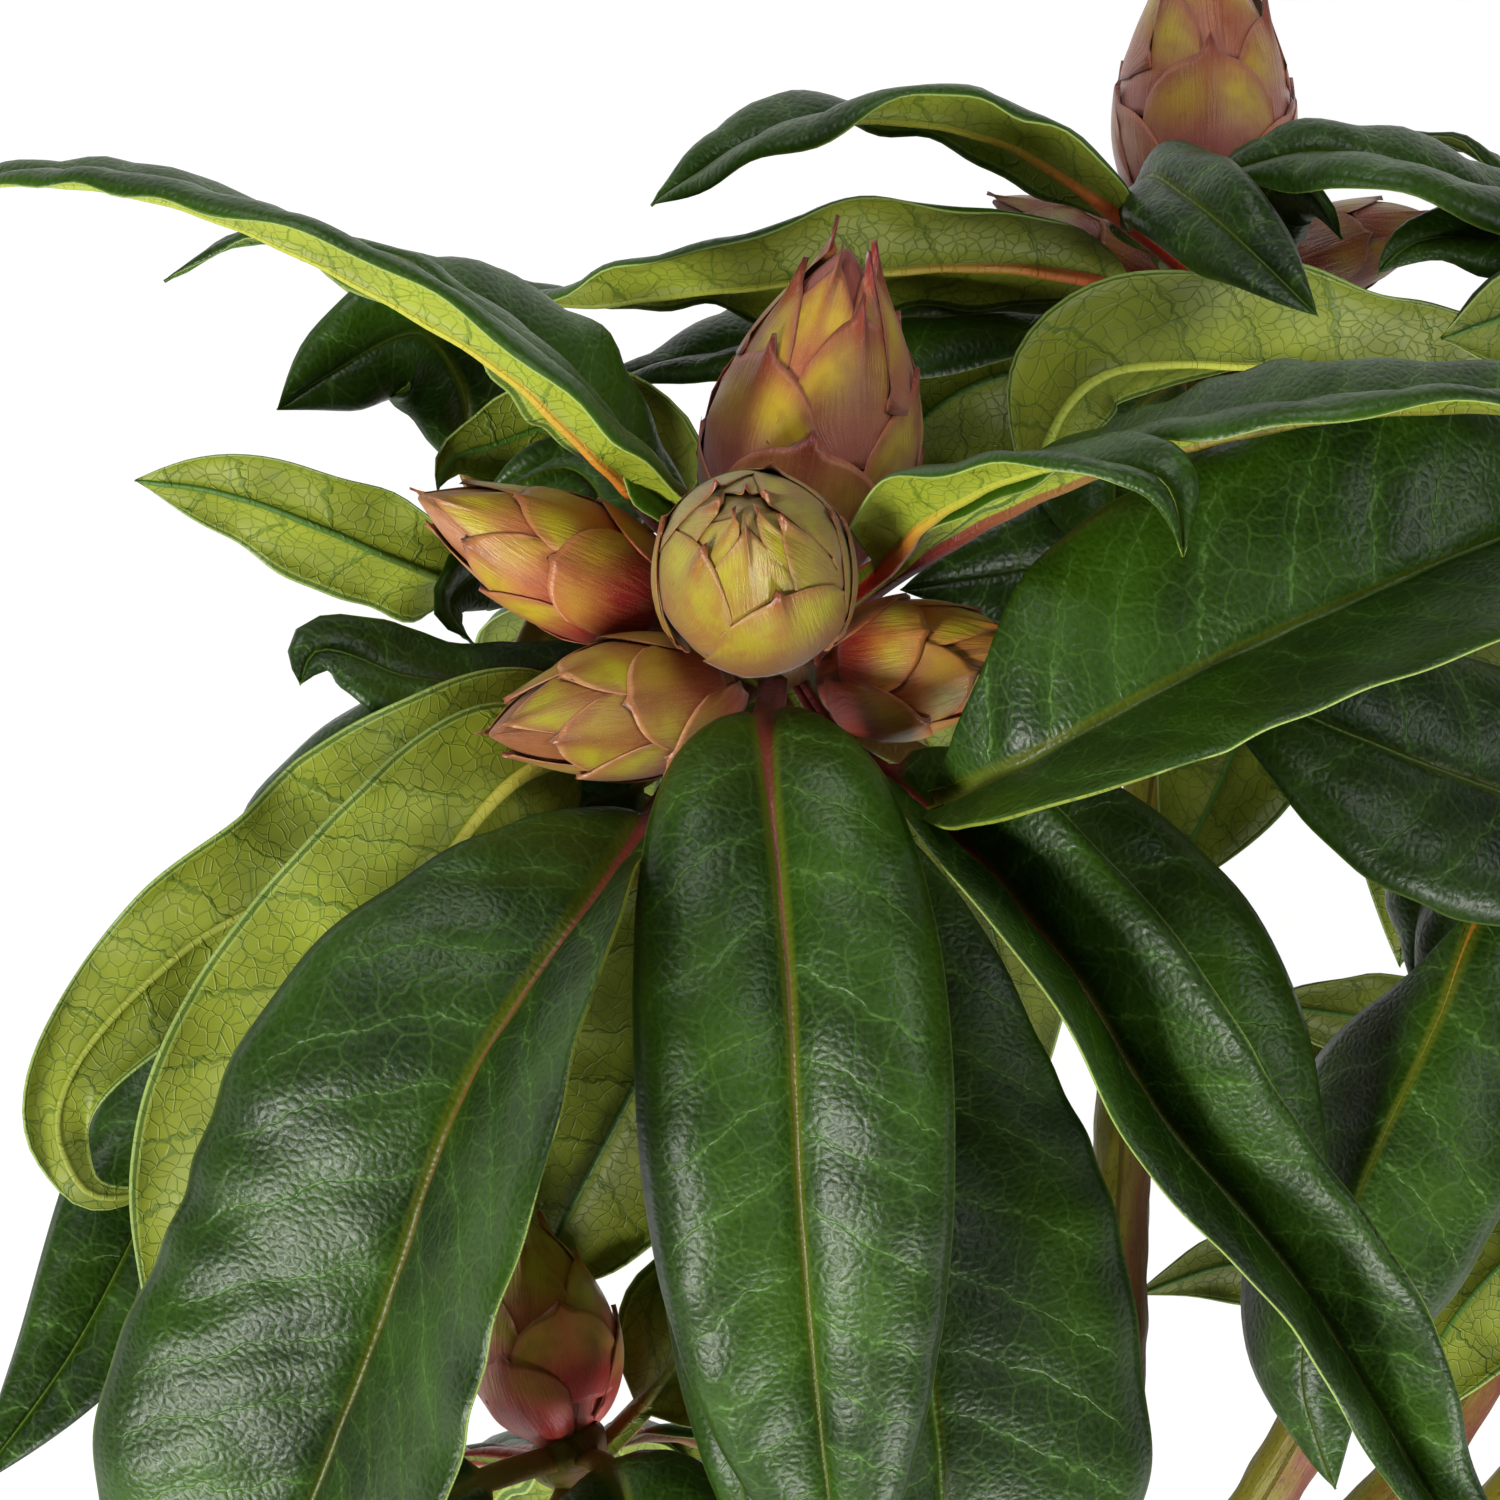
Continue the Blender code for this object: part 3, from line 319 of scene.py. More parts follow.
# Plain colours of the leaves, buds, bark, cut wood and floor.
TINTS = {
    "upper_dark": (16, 38, 0), "upper_light": (47, 81, 0), "upper_net": (72, 104, 24), "halo": (70, 108, 30),
    "vein": (96, 138, 58), "border": (100, 108, 18), "edge": (106, 132, 50),
    "cell_old": (92, 104, 26), "cell_young": (150, 161, 44), "net_old": (50, 74, 16),
    "net_young": (88, 116, 20), "rolled": (60, 88, 20), "pale_line": (156, 176, 90),
    "streak": (196, 150, 60), "blush": (136, 56, 36), "speck": (214, 190, 160),
    # The olive and brown bark tints come in lit-side and shade-side pairs, as painted light and shade.
    "olive_lit_side": (122, 118, 26), "olive_shade_side": (96, 60, 30), "brown_lit_side": (112, 106, 22),
    # wrinkle_highlight is a painted highlight on the crests of the bark's wrinkles.
    "brown_shade_side": (108, 54, 34), "pore": (66, 40, 26), "wrinkle_highlight": (176, 160, 84),
    "wood": (206, 182, 130), "ring": (170, 138, 84), "pith": (150, 120, 80),
    "floor_light": (70, 70, 70), "floor_dark": (64, 64, 64), "white": (255, 255, 255),
}

# Each light's place, size, power and colour.
LIGHTS = {
    "key_light": ((-0.9, -0.75, 1.05), 0.45, 28, (1.0, 0.985, 0.96)),
    "fill_light": ((0.85, 0.2, 1.2), 0.5, 5, (0.97, 0.98, 1.0)),
    "low_light": ((0.4, -1.15, 0.42), 0.5, 14, (1.0, 0.99, 0.97)),
    "top_light": ((-0.35, 1.0, 1.05), 0.5, 6, (1.0, 1.0, 1.0)),
}
LIT_PLACE = (0, 0, 0.1)
FLOOR_HALF = 3


def linear(colour):
    """A plain display colour of 0 to 255 as the light it stands for."""
    share = np.array(colour, float) / 255
    return np.where(share < 0.04045, share / 12.92, ((share + 0.055) / 1.055) ** 2.4)


def true_place(place):
    """The place in space, in mm, of a point that is read from straight above at the scale of z = 0."""
    x, y, z = place
    nearer = (EYE_HEIGHT - z) / EYE_HEIGHT
    return np.array((x * nearer, y * nearer, z), float)


def unit(vectors):
    return vectors / np.maximum(np.linalg.norm(vectors, axis=-1, keepdims=True), 1e-9)


def ease(x):
    x = np.clip(x, 0, 1)
    return x * x * (3 - 2 * x)


def square_to(direction, axis):
    """The part of a direction that is square to an axis, at unit length."""
    return unit(direction - (direction @ axis) * axis)


def carried(direction, along):
    """A direction across a path, carried along it without a twist."""
    rows = np.zeros_like(along)
    for i, axis in enumerate(along):
        direction = rows[i] = square_to(direction, axis)
    return rows


def around(sides):
    return np.linspace(0, 2 * np.pi, sides + 1)[:-1]


def rays(angle, first, second):
    return np.cos(angle)[..., None] * first + np.sin(angle)[..., None] * second


def smooth_course(points, count):
    """Evenly spaced places along a smooth curve through the points, and the curve's length."""
    points = np.array(points, float)
    steps = np.diff(points, axis=0)
    spans = np.linalg.norm(steps, axis=1)
    chords = steps / spans[:, None]
    slopes = np.empty_like(points)
    weights = (spans[1:] + spans[:-1])[:, None]
    slopes[1:-1] = (chords[:-1] * spans[1:, None] + chords[1:] * spans[:-1, None]) / weights
    slopes[0] = 1.5 * chords[0] - 0.5 * slopes[1]
    slopes[-1] = 1.5 * chords[-1] - 0.5 * slopes[-2]
    t = np.linspace(0, 1, 25)[:-1, None]
    parts = []
    for i, span in enumerate(spans):
        parts.append((2 * t**3 - 3 * t**2 + 1) * points[i] + (t**3 - 2 * t**2 + t) * slopes[i] * span
                     + (3 * t**2 - 2 * t**3) * points[i + 1] + (t**3 - t**2) * slopes[i + 1] * span)
    fine = np.concatenate(parts + [points[-1:]])
    run = np.concatenate([[0], np.cumsum(np.linalg.norm(np.diff(fine, axis=0), axis=1))])
    wanted = np.linspace(0, run[-1], count)
    return np.stack([np.interp(wanted, run, fine[:, axis]) for axis in range(3)], 1), run[-1]


def blade_frames(path, roll, turn, facing):
    """The upper face's direction and the sideways direction at each place of the midrib."""
    along = unit(np.gradient(path, axis=0))
    count = len(path)
    middle = int(round(turn * (count - 1)))
    behind = carried(facing, along[middle::-1])
    face = np.concatenate([behind[:0:-1], carried(facing, along[middle:])])
    s = np.linspace(0, 1, count)
    base, mid, end = roll
    angle = np.where(s < turn, base + (mid - base) * ease(s / turn),
                     mid + (end - mid) * ease((s - turn) / (1 - turn)))
    angle = np.radians(angle)[:, None]
    face = face * np.cos(angle) + np.cross(along, face) * np.sin(angle)
    return face, np.cross(along, face)


def half_width(u, row):
    """Half the blade's width at u, from its base 0 to its tip 1."""
    widest = row["widest"]
    below = np.sqrt(np.clip(1 - (np.clip(widest - u, 0, widest) / widest) ** 2.4, 0, 1))
    above = 1 - (np.clip(u - widest, 0, 1 - widest) / (1 - widest)) ** row["tip"]
    return row["width"] / 2 * np.where(u < widest, below, above)


def half_section(reach, fold, curl):
    """Across and up from the midrib at a share of the half width, for a half that rises and curls down."""
    steps = 24
    angle = np.radians(fold - curl * ((np.arange(steps) + 0.5) / steps) ** 2)
    marks = np.linspace(0, 1, steps + 1)
    runs = [np.concatenate([[0], np.cumsum(share) / steps]) for share in (np.cos(angle), np.sin(angle))]
    return [np.interp(reach, marks, run) for run in runs]


def pair(value):
    return value if isinstance(value, tuple) else (value, value)


def back_course(start, heading, reach, droop):
    """The midrib of a leaf on the far side, from its twig outward and then down."""
    angle = math.radians(heading)
    out = np.array((math.cos(angle), 0, -math.sin(angle)))
    lift = 0.25 * reach
    places = []
    for s in (0.2, 0.5, 0.78, 1.0):
        height = lift * s - (lift + droop) * s * s
        places.append(start + out * reach * (s - 0.12 * s * s) + np.array((0, height, 0)))
    return places


def midrib(whorl, row):
    """The places that a leaf's midrib passes, from the middle of its twig to its tip."""
    foot, head, _ = TWIGS[whorl]
    start = true_place(foot) * (1 - row["along"]) + true_place(head) * row["along"]
    if row["back"]:
        return [start] + back_course(start, *row["course"])
    return [start] + [true_place(place) for place in row["course"]]


class Wire:
    """A number in a material's node tree that takes part in plain arithmetic."""

    def __init__(self, tree, socket):
        self.tree = tree
        self.socket = socket

    def maths(self, operation, *others, first=None):
        node = self.tree.nodes.new("ShaderNodeMath")
        node.operation = operation
        values = [self, *others] if first is None else [first, self]
        for socket, value in zip(node.inputs, values):
            join(self.tree, socket, value)
        return Wire(self.tree, node.outputs[0])

    def __add__(self, other):
        return self.maths("ADD", other)

    def __sub__(self, other):
        return self.maths("SUBTRACT", other)

    def __rsub__(self, other):
        return self.maths("SUBTRACT", first=other)

    def __mul__(self, other):
        return self.maths("MULTIPLY", other)

    def __truediv__(self, other):
        return self.maths("DIVIDE", other)


def join(tree, socket, value):
    """Link a wire to a socket, or set the socket to a named tint or a plain value."""
    if isinstance(value, Wire):
        tree.links.new(value.socket, socket)
    elif isinstance(value, str):
        socket.default_value = (*linear(TINTS[value]), 1)
    else:
        socket.default_value = value


def sine(value):
    return value.maths("SINE") if isinstance(value, Wire) else np.sin(value)


def absolute(value):
    return value.maths("ABSOLUTE") if isinstance(value, Wire) else np.abs(value)


def fraction(value):
    return value.maths("FRACT") if isinstance(value, Wire) else value - np.floor(value)


def above_zero(value):
    return value.maths("GREATER_THAN", 0.0) if isinstance(value, Wire) else value > 0


def vein_distance(x, y, seed):
    """Distance in mm to the nearest side vein, at x across from the midrib and y along the blade."""
    out = absolute(x)
    level = y - out * VEIN_SLOPE - out * out * VEIN_BEND
    sway = sine(level * 0.19 + seed) * VEIN_SWAY + sine(x * 0.5 + y * 0.3 + seed) * 0.05
    phase = level / VEIN_STEP + above_zero(x) * 0.5 + sway + seed * 0.37
    return absolute(fraction(phase) - 0.5) * VEIN_STEP


class Look:
    """A material of the branch, with short names for the nodes it is made of."""

    def __init__(self, name):
        self.material = bpy.data.materials.new(name)
        self.material.use_nodes = True
        self.tree = self.material.node_tree
        self.shader = self.tree.nodes["Principled BSDF"]

    def set(self, **values):
        for name, value in values.items():
            join(self.tree, self.shader.inputs[name.replace("_", " ")], value)

    def node(self, kind, output=0, settings=None, **inputs):
        made = self.tree.nodes.new(f"ShaderNode{kind}")
        for name, value in (settings or {}).items():
            setattr(made, name, value)
        for name, value in inputs.items():
            join(self.tree, made.inputs[name.replace("_", " ")], value)
        return Wire(self.tree, made.outputs[output])

    def paint(self, name):
        return self.node("Attribute", "Color", {"attribute_name": name})

    def split(self, vector):
        made = self.tree.nodes.new("ShaderNodeSeparateXYZ")
        self.tree.links.new(vector.socket, made.inputs[0])
        return [Wire(self.tree, output) for output in made.outputs]

    def parts(self, name):
        return self.split(self.node("Attribute", "Vector", {"attribute_name": name}))

    def spot(self, x, y, seed):
        """A place on a flat pattern, far from that of any other seed."""
        return self.node("CombineXYZ", X=x + seed * 47.0, Y=y)

    def noise(self, vector, scale, detail=2.0, roughness=0.5):
        kind = {"noise_dimensions": "2D"}
        return self.node("TexNoise", 0, kind, Vector=vector, Scale=scale, Detail=detail, Roughness=roughness)

    def net(self, vector, scale):
        """Distance to the nearest line between cells, in cells."""
        kind = {"feature": "DISTANCE_TO_EDGE", "voronoi_dimensions": "2D"}
        return self.node("TexVoronoi", "Distance", kind, Vector=vector, Scale=scale, Randomness=1.0)

    def step(self, value, low, high):
        """A smooth rise from 0 at low to 1 at high."""
        made = self.tree.nodes.new("ShaderNodeMapRange")
        made.interpolation_type = "SMOOTHSTEP"
        for socket, given in zip(made.inputs, (value, low, high)):
            join(self.tree, socket, given)
        return Wire(self.tree, made.outputs[0])

    def fall(self, value, low, high):
        """A smooth fall from 1 at low to 0 at high."""
        return 1 - self.step(value, low, high)

    def mix(self, share, one, other):
        made = self.tree.nodes.new("ShaderNodeMix")
        made.data_type = "RGBA"
        sockets = [made.inputs[0], made.inputs[6], made.inputs[7]]
        for socket, value in zip(sockets, (share, one, other)):
            join(self.tree, socket, value)
        return Wire(self.tree, made.outputs[2])

    def bump(self, height, distance):
        return self.node("Bump", Height=height, Distance=distance * MM, Strength=1.0)


def leaf_wires(look):
    """Places across and along in mm, the seed, the flat pattern's place, the share out to the margin, the
    place from base 0 to tip 1, the tone, and the distance from the midrib in half widths of the midrib."""
    x, y, seed = look.parts("leaf_flat")
    q, u, tone = look.parts("leaf_part")
    mid = look.parts("leaf_mid")[0]
    return x, y, seed, look.spot(x, y, seed), absolute(q), u, tone, absolute(mid)


def upper_look():
    """The upper face: leathery dark green, pale thin side veins, a coloured midrib and a pale margin."""
    look = Look("leaf_upper")
    x, y, seed, flat, out, u, tone, away = leaf_wires(look)
    wander = (look.noise(flat, 0.45, 1.0) - 0.5) * 1.6
    vein = vein_distance(x, y + wander, seed)
    fade = look.fall(out, 0.72, 0.96) * look.step(away, 1.0, 2.0)
    line = look.fall(vein, 0.03, 0.28) * fade
    halo = look.fall(vein, 0.2, 1.8) * fade
    cells = look.net(look.spot(x * 0.8, y, seed), 1.05)
    net = look.fall(cells, 0.0, 0.2)
    patches = look.noise(flat, 0.07, 1.0)
    grain = look.noise(flat, 1.3, 2.0, 0.6)
    shade = look.step(patches * 0.9 + grain * 0.25 + tone * 0.6 - 0.25, 0.15, 1.0)
    green = look.mix(shade, "upper_dark", "upper_light")
    green = look.mix(net * 0.12, green, "upper_net")
    green = look.mix(halo * 0.14, green, "halo")
    green = look.mix(line * look.step(grain, 0.3, 0.65) * 0.4, green, "vein")
    broad = look.fall(look.net(look.spot(x + wander, y, seed), 0.26), 0.0, 0.06)
    green = look.mix(broad * fade * 0.16, green, "vein")
    border = look.fall(away, 0.7, 2.0) * (1 - look.step(u, 0.3, 0.9) * 0.7)
    green = look.mix(border * 0.55, green, "border")
    rim = 1.0 - look.step(u, 0.0, 0.2) * 0.7
    bare = look.step(away, rim * 0.5, rim) * look.step(u, 0.0, 0.02)
    rib = look.mix(1 - bare, green, look.paint("leaf_rib"))
    edge = look.step(out, 0.98, 0.995) * look.step(u, 0.0, 0.03)
    colour = look.mix(edge * 0.4, rib, "edge")
    look.set(Base_Color=colour, Roughness=look.step(grain, 0.0, 1.0) * 0.16 + 0.34)
    look.set(Specular_IOR_Level=0.34)
    pebble = look.step(cells, 0.0, 0.4)
    height = pebble * 0.5 + grain * 0.8 - line * 0.5
    look.set(Normal=look.bump(height, 0.075))
    return look.material


def under_look():
    """The underside: bright cells in a darker net, a raised midrib, and a dark rolled margin between pale
    lines."""
    look = Look("leaf_underside")
    x, y, seed, flat, out, u, tone, away = leaf_wires(look)
    warp = look.noise(flat, 0.35, 1.0)
    bent = look.spot(x + (warp - 0.5) * 1.6, y + (warp - 0.5) * 1.2, seed)
    wander = (look.noise(flat, 0.6, 1.0) - 0.5) * 1.8
    vein = vein_distance(x, y + wander, seed)
    broad = look.fall(look.net(bent, 0.2), 0.005, 0.032)
    fine = look.fall(look.net(bent, 0.72), 0.01, 0.09)
    line = look.fall(vein, 0.12, 0.38)
    cloud = look.noise(flat, 0.12, 2.0)
    bright = look.step(tone + (cloud - 0.5) * 0.7, 0.0, 1.0)
    cell = look.mix(bright, "cell_old", "cell_young")
    dark = look.mix(bright, "net_old", "net_young")
    colour = look.mix(fine * 0.36, cell, dark)
    colour = look.mix(broad * 0.65, colour, dark)
    colour = look.mix(line * 0.6, colour, dark)
    rolled = look.step(out, 0.93, 0.95) * look.step(u, 0.02, 0.06)
    colour = look.mix(rolled * 0.8, colour, "rolled")
    pale = look.step(out, 0.91, 0.925) * look.fall(out, 0.93, 0.945) * 0.7 + look.step(out, 0.975, 0.99)
    colour = look.mix(pale * look.step(u, 0.02, 0.06) * 0.7, colour, "pale_line")
    colour = look.mix(look.fall(away, 0.95, 1.15), colour, look.paint("leaf_rib"))
    look.set(Base_Color=colour, Roughness=0.5, Specular_IOR_Level=0.35)
    height = fine * 0.4 + line * 0.8
    look.set(Normal=look.bump(height, 0.12))
    return look.material


def scale_look():
    """A bud's scales: silky, streaked lengthwise and finely speckled, with a thin pale rim."""
    look = Look("bud_scales")
    x, y, seed = look.parts("scale_flat")
    paint = look.paint("scale_paint")
    streaks = look.noise(look.spot(x * 2.6, y * 0.28, seed), 1.0, 3.0, 0.6)
    specks = look.noise(look.spot(x, y, seed), 5.5, 2.0, 0.6)
    clouds = look.noise(look.spot(x, y, seed), 0.35, 2.0)
    colour = look.mix(look.step(streaks, 0.4, 0.8) * 0.22, paint, "streak")
    colour = look.mix(look.step(clouds, 0.4, 0.75) * 0.35, colour, "blush")
    colour = look.mix(look.step(specks, 0.58, 0.74) * 0.22, colour, "speck")
    look.set(Base_Color=colour, Roughness=0.34, Specular_IOR_Level=0.5)
    look.set(Sheen_Weight=0.2, Sheen_Roughness=0.4)
    look.set(Normal=look.bump(streaks * 0.8 + specks * 0.25, 0.14))
    return look.material


def bark_look(name, pale, dark):
    """Young bark, paler where it faces left towards the key light and darker where it faces right, as painted
    light and shade over its own olive and red-brown tones, with fine wrinkles that carry a painted highlight,
    pores and patches.
    """
    look = Look(name)
    x, y, seed = look.parts("bark_flat")
    facing = look.split(look.node("NewGeometry", "Normal"))[0]
    wrinkles = look.noise(look.spot(x * 1.8, y * 0.16, seed), 1.0, 3.0, 0.6)
    pores = look.noise(look.spot(x, y * 0.5, seed), 2.2, 2.0)
    patches = look.noise(look.spot(x * 0.3, y * 0.1, seed), 1.0, 3.0)
    # Painted light and shade: faces turned left get the lit-side tint and faces turned right get the
    # shade-side tint, mixed with the bark's own patches and wrinkles.
    colour = look.mix(look.step(facing + patches * 1.6 + wrinkles * 0.5 - 1.0, -0.5, 0.6), pale, dark)
    colour = look.mix(look.step(pores, 0.62, 0.72) * 0.5, colour, "pore")
    # Painted highlight: a pale tint on the crests of the wrinkles.
    colour = look.mix(look.step(wrinkles, 0.55, 0.75) * 0.14, colour, "wrinkle_highlight")
    look.set(Base_Color=colour, Roughness=0.5, Specular_IOR_Level=0.3)
    look.set(Normal=look.bump(wrinkles - pores * 0.4, 0.16))
    return look.material


def wood_look():
    """The cut end: pale wood with rings about a soft pith."""
    look = Look("cut_wood")
    x, y, _ = look.parts("bark_flat")
    rings = sine(y * 5.0 + look.noise(look.spot(x, y, 0), 0.6, 2.0) * 2.0) * 0.5 + 0.5
    colour = look.mix(rings * 0.5, "wood", "ring")
    colour = look.mix(look.fall(y, 0.7, 1.2), colour, "pith")
    look.set(Base_Color=colour, Roughness=0.75)
    return look.material


def add_object(name, data):
    made = bpy.data.objects.new(name, data)
    bpy.context.scene.collection.objects.link(made)
    return made


class Shell:
    """Vertices, faces and per-vertex numbers that grow into one mesh."""

    def __init__(self):
        self.places = []
        self.corners = []
        self.sizes = []
        self.slots = []
        self.numbers = {}
        self.count = 0

    def loops(self, loops, slots, numbers):
        """Add a closed tube of vertex loops, one row for each loop, with both its ends filled."""
        rows, around = loops.shape[:2]
        grid = np.arange(rows * around).reshape(rows, around) + self.count
        ahead = np.roll(grid, -1, axis=1)
        quads = np.stack([grid[:-1], ahead[:-1], ahead[1:], grid[1:]], -1).reshape(-1, 4)
        self.places.append(loops.reshape(-1, 3))
        self.corners += [quads.ravel(), grid[0, ::-1], grid[-1]]
        self.sizes += [np.full(len(quads), 4), [around], [around]]
        self.slots += [np.tile(slots, rows - 1), [slots[-1]], [slots[-1]]]
        for name, values in numbers.items():
            self.numbers.setdefault(name, []).append(values.reshape(rows * around, -1))
        self.count += rows * around

    def plate(self, face, back, slots, numbers):
        """Add a thin plate from the grids of its two faces, with the same numbers on both."""
        both = {name: np.concatenate([values, values[:, ::-1]], 1) for name, values in numbers.items()}
        self.loops(np.concatenate([face, back[:, ::-1]], 1), slots, both)

    def build(self, name, looks):
        mesh = bpy.data.meshes.new(name)
        places = np.concatenate(self.places) * MM + SHIFT
        corners = np.concatenate(self.corners).astype(np.int32)
        sizes = np.concatenate(self.sizes)
        mesh.vertices.add(len(places))
        mesh.loops.add(len(corners))
        mesh.polygons.add(len(sizes))
        mesh.vertices.foreach_set("co", places.astype(np.float32).ravel())
        mesh.loops.foreach_set("vertex_index", corners)
        starts = np.concatenate([[0], np.cumsum(sizes)[:-1]])
        mesh.polygons.foreach_set("loop_start", starts.astype(np.int32))
        mesh.polygons.foreach_set("material_index", np.concatenate(self.slots).astype(np.int32))
        for look in looks:
            mesh.materials.append(look)
        mesh.update(calc_edges=True)
        mesh.validate()
        for label, values in self.numbers.items():
            values = np.concatenate(values).astype(np.float32)
            kind = "color" if values.shape[1] == 4 else "vector"
            made = mesh.attributes.new(label, f"FLOAT_{kind.upper()}", "POINT")
            made.data.foreach_set(kind, values.ravel())
        mesh.shade_smooth()
        return add_object(name, mesh)


def blend_colours(stops, places, at):
    """Plain colours blended between stops, for many places at once, as linear light with a full alpha."""
    light = np.array([linear(stop) for stop in stops])
    shares = np.stack([np.interp(at, places, light[:, axis]) for axis in range(3)], -1)
    return np.concatenate([shares, np.ones(shares.shape[:-1] + (1,))], -1)


def add_leaf(shell, whorl, row, seed, fine):
    """Add one leaf: a thin plate, folded and curled along its midrib, quilted between its side veins."""
    points = midrib(whorl, row)
    _, length = smooth_course(points, 2)
    row_step, outer = FINE_GRID if fine else PLAIN_GRID
    rings = int(round(length / row_step)) + 1
    path, length = smooth_course(points, rings)
    facing = np.array((0.0, 1.0, 0.0)) if row["back"] else UP
    face, side = blade_frames(path, row["roll"], row["turn"], facing)
    blade = length - row["stalk"]
    u = (np.linspace(0, 1, rings) * length - row["stalk"]) / blade
    inside = np.clip(u, 0, 1)
    stem = TIP_HALF + (PETIOLE_HALF - TIP_HALF) * (1 - inside) ** 2
    half = (half_width(inside, row) ** 6 + stem ** 6) ** (1 / 6)
    size = np.clip(row["width"] / 40, 0.6, 1.1)
    rib = np.minimum((0.3 + 0.35 * (1 - inside) + 0.8 * np.exp(-inside / 0.15)) * size, half * 0.9)
    inner = np.array((0.0, 0.45, 0.8, 1.0))
    marks = np.arange(1, outer + 1) / outer
    offset = np.concatenate([rib[:, None] * inner, rib[:, None] + (half - rib)[:, None] * marks ** 0.92], 1)
    x = np.concatenate([-offset[:, :0:-1], offset], 1)
    slim = np.where(x > 0, pair(row["slim"])[1], pair(row["slim"])[0]) * (1 - ease(inside / 0.4))[:, None]
    x = np.sign(x) * np.maximum(np.abs(x) * (1 - slim), np.minimum(np.abs(x), rib[:, None]))
    half = half[:, None]
    rib = rib[:, None]
    u = u[:, None]
    inside = inside[:, None]
    q = x / half
    y = u * blade + 0 * x
    height, waves, phase = row["wave"]
    sign = np.sign(x)
    halves = [half_section(np.abs(q), *bend) for bend in zip(pair(row["fold"]), pair(row["curl"]))]
    across, rise = [np.where(sign > 0, right, left) for left, right in zip(*halves)]
    ends = np.clip(4 * u, 0, 1) * np.clip(4 * (1 - u), 0, 1)
    ripple = height * q**2 * np.sin(2 * np.pi * (waves * u + phase) + sign * 0.9) * ends
    ripple += 0.35 * q**2 * np.sin(0.55 * y + seed + sign * 2 + 1.3 * np.sin(0.11 * y + seed)) * ends
    ripple -= 0.7 * ease((np.abs(q) - 0.84) / 0.16) * ends
    sheet = path[:, None] + side[:, None] * (sign * half * across)[..., None]
    sheet = sheet + face[:, None] * (half * rise + ripple)[..., None]
    normal = unit(np.cross(np.gradient(sheet, axis=0), np.gradient(sheet, axis=1)))
    normal *= np.where((normal * face[:, None]).sum(-1, keepdims=True) < 0, -1, 1)
    share = ease((u + 0.05) / 0.09)
    vein = vein_distance(x, y, seed)
    level = 1 - np.abs(q) ** 4
    quilt = QUILT * (1 - np.exp(-(vein / 1.5) ** 2)) * ease(np.abs(x) / 3) * level
    pucker = PUCKER * np.sin(0.61 * x + 0.9 * np.sin(0.3 * y)) * np.sin(0.47 * y + seed) * level
    round_off = np.sqrt(np.clip(1 - q**2, 0, 1))
    ridge = rib * np.sqrt(np.clip(1 - (x / rib) ** 2, 0, 1))
    top = (1 - share) * 0.8 * round_off + share * (quilt + pucker - 0.4 * np.exp(-(x / rib) ** 2))
    thick = BLADE_THICK * np.minimum(half / 1.2, 1) * (1 - 0.45 * q**6)
    low = (1 - share) * 1.35 * round_off + share * (thick - quilt - pucker + 1.15 * ridge)
    upper = sheet + normal * top[..., None]
    under = sheet - normal * low[..., None]
    columns = x.shape[1]
    slots = np.array([0] * (columns - 1) + [1] * (columns + 1))
    numbers = {
        "leaf_flat": np.stack([x, y, seed + 0 * x], -1),
        "leaf_part": np.stack([q, u + 0 * x, row["tone"] + 0 * x], -1),
        "leaf_mid": np.stack([x / rib, 0 * x, 0 * x], -1),
        "leaf_rib": blend_colours(RIBS[row["rib"]], (-0.02, 0.05, 0.4, 1.0), u + 0 * x),
    }
    shell.plate(upper, under, slots, numbers)


def bud_radius(t, width):
    """Radius of a bud's core at t, from its base 0 to its tip 1."""
    below = np.sqrt(np.clip(1 - ((FATTEST - np.minimum(t, FATTEST)) / FATTEST) ** 2, 0, 1))
    above = 1 - ((np.maximum(t, FATTEST) - FATTEST) / (1 - FATTEST)) ** 2
    return width / 2 * np.where(t < FATTEST, below, above)


def bud_frame(base, tip):
    """A bud's foot, its axis, two directions across it and its length."""
    start = true_place(base)
    axis = true_place(tip) - start
    length = np.linalg.norm(axis)
    axis = axis / length
    first = square_to(UP if abs(axis[2]) < 0.9 else np.array((0.0, -1.0, 0.0)), axis)
    return start, axis, first, np.cross(axis, first), length


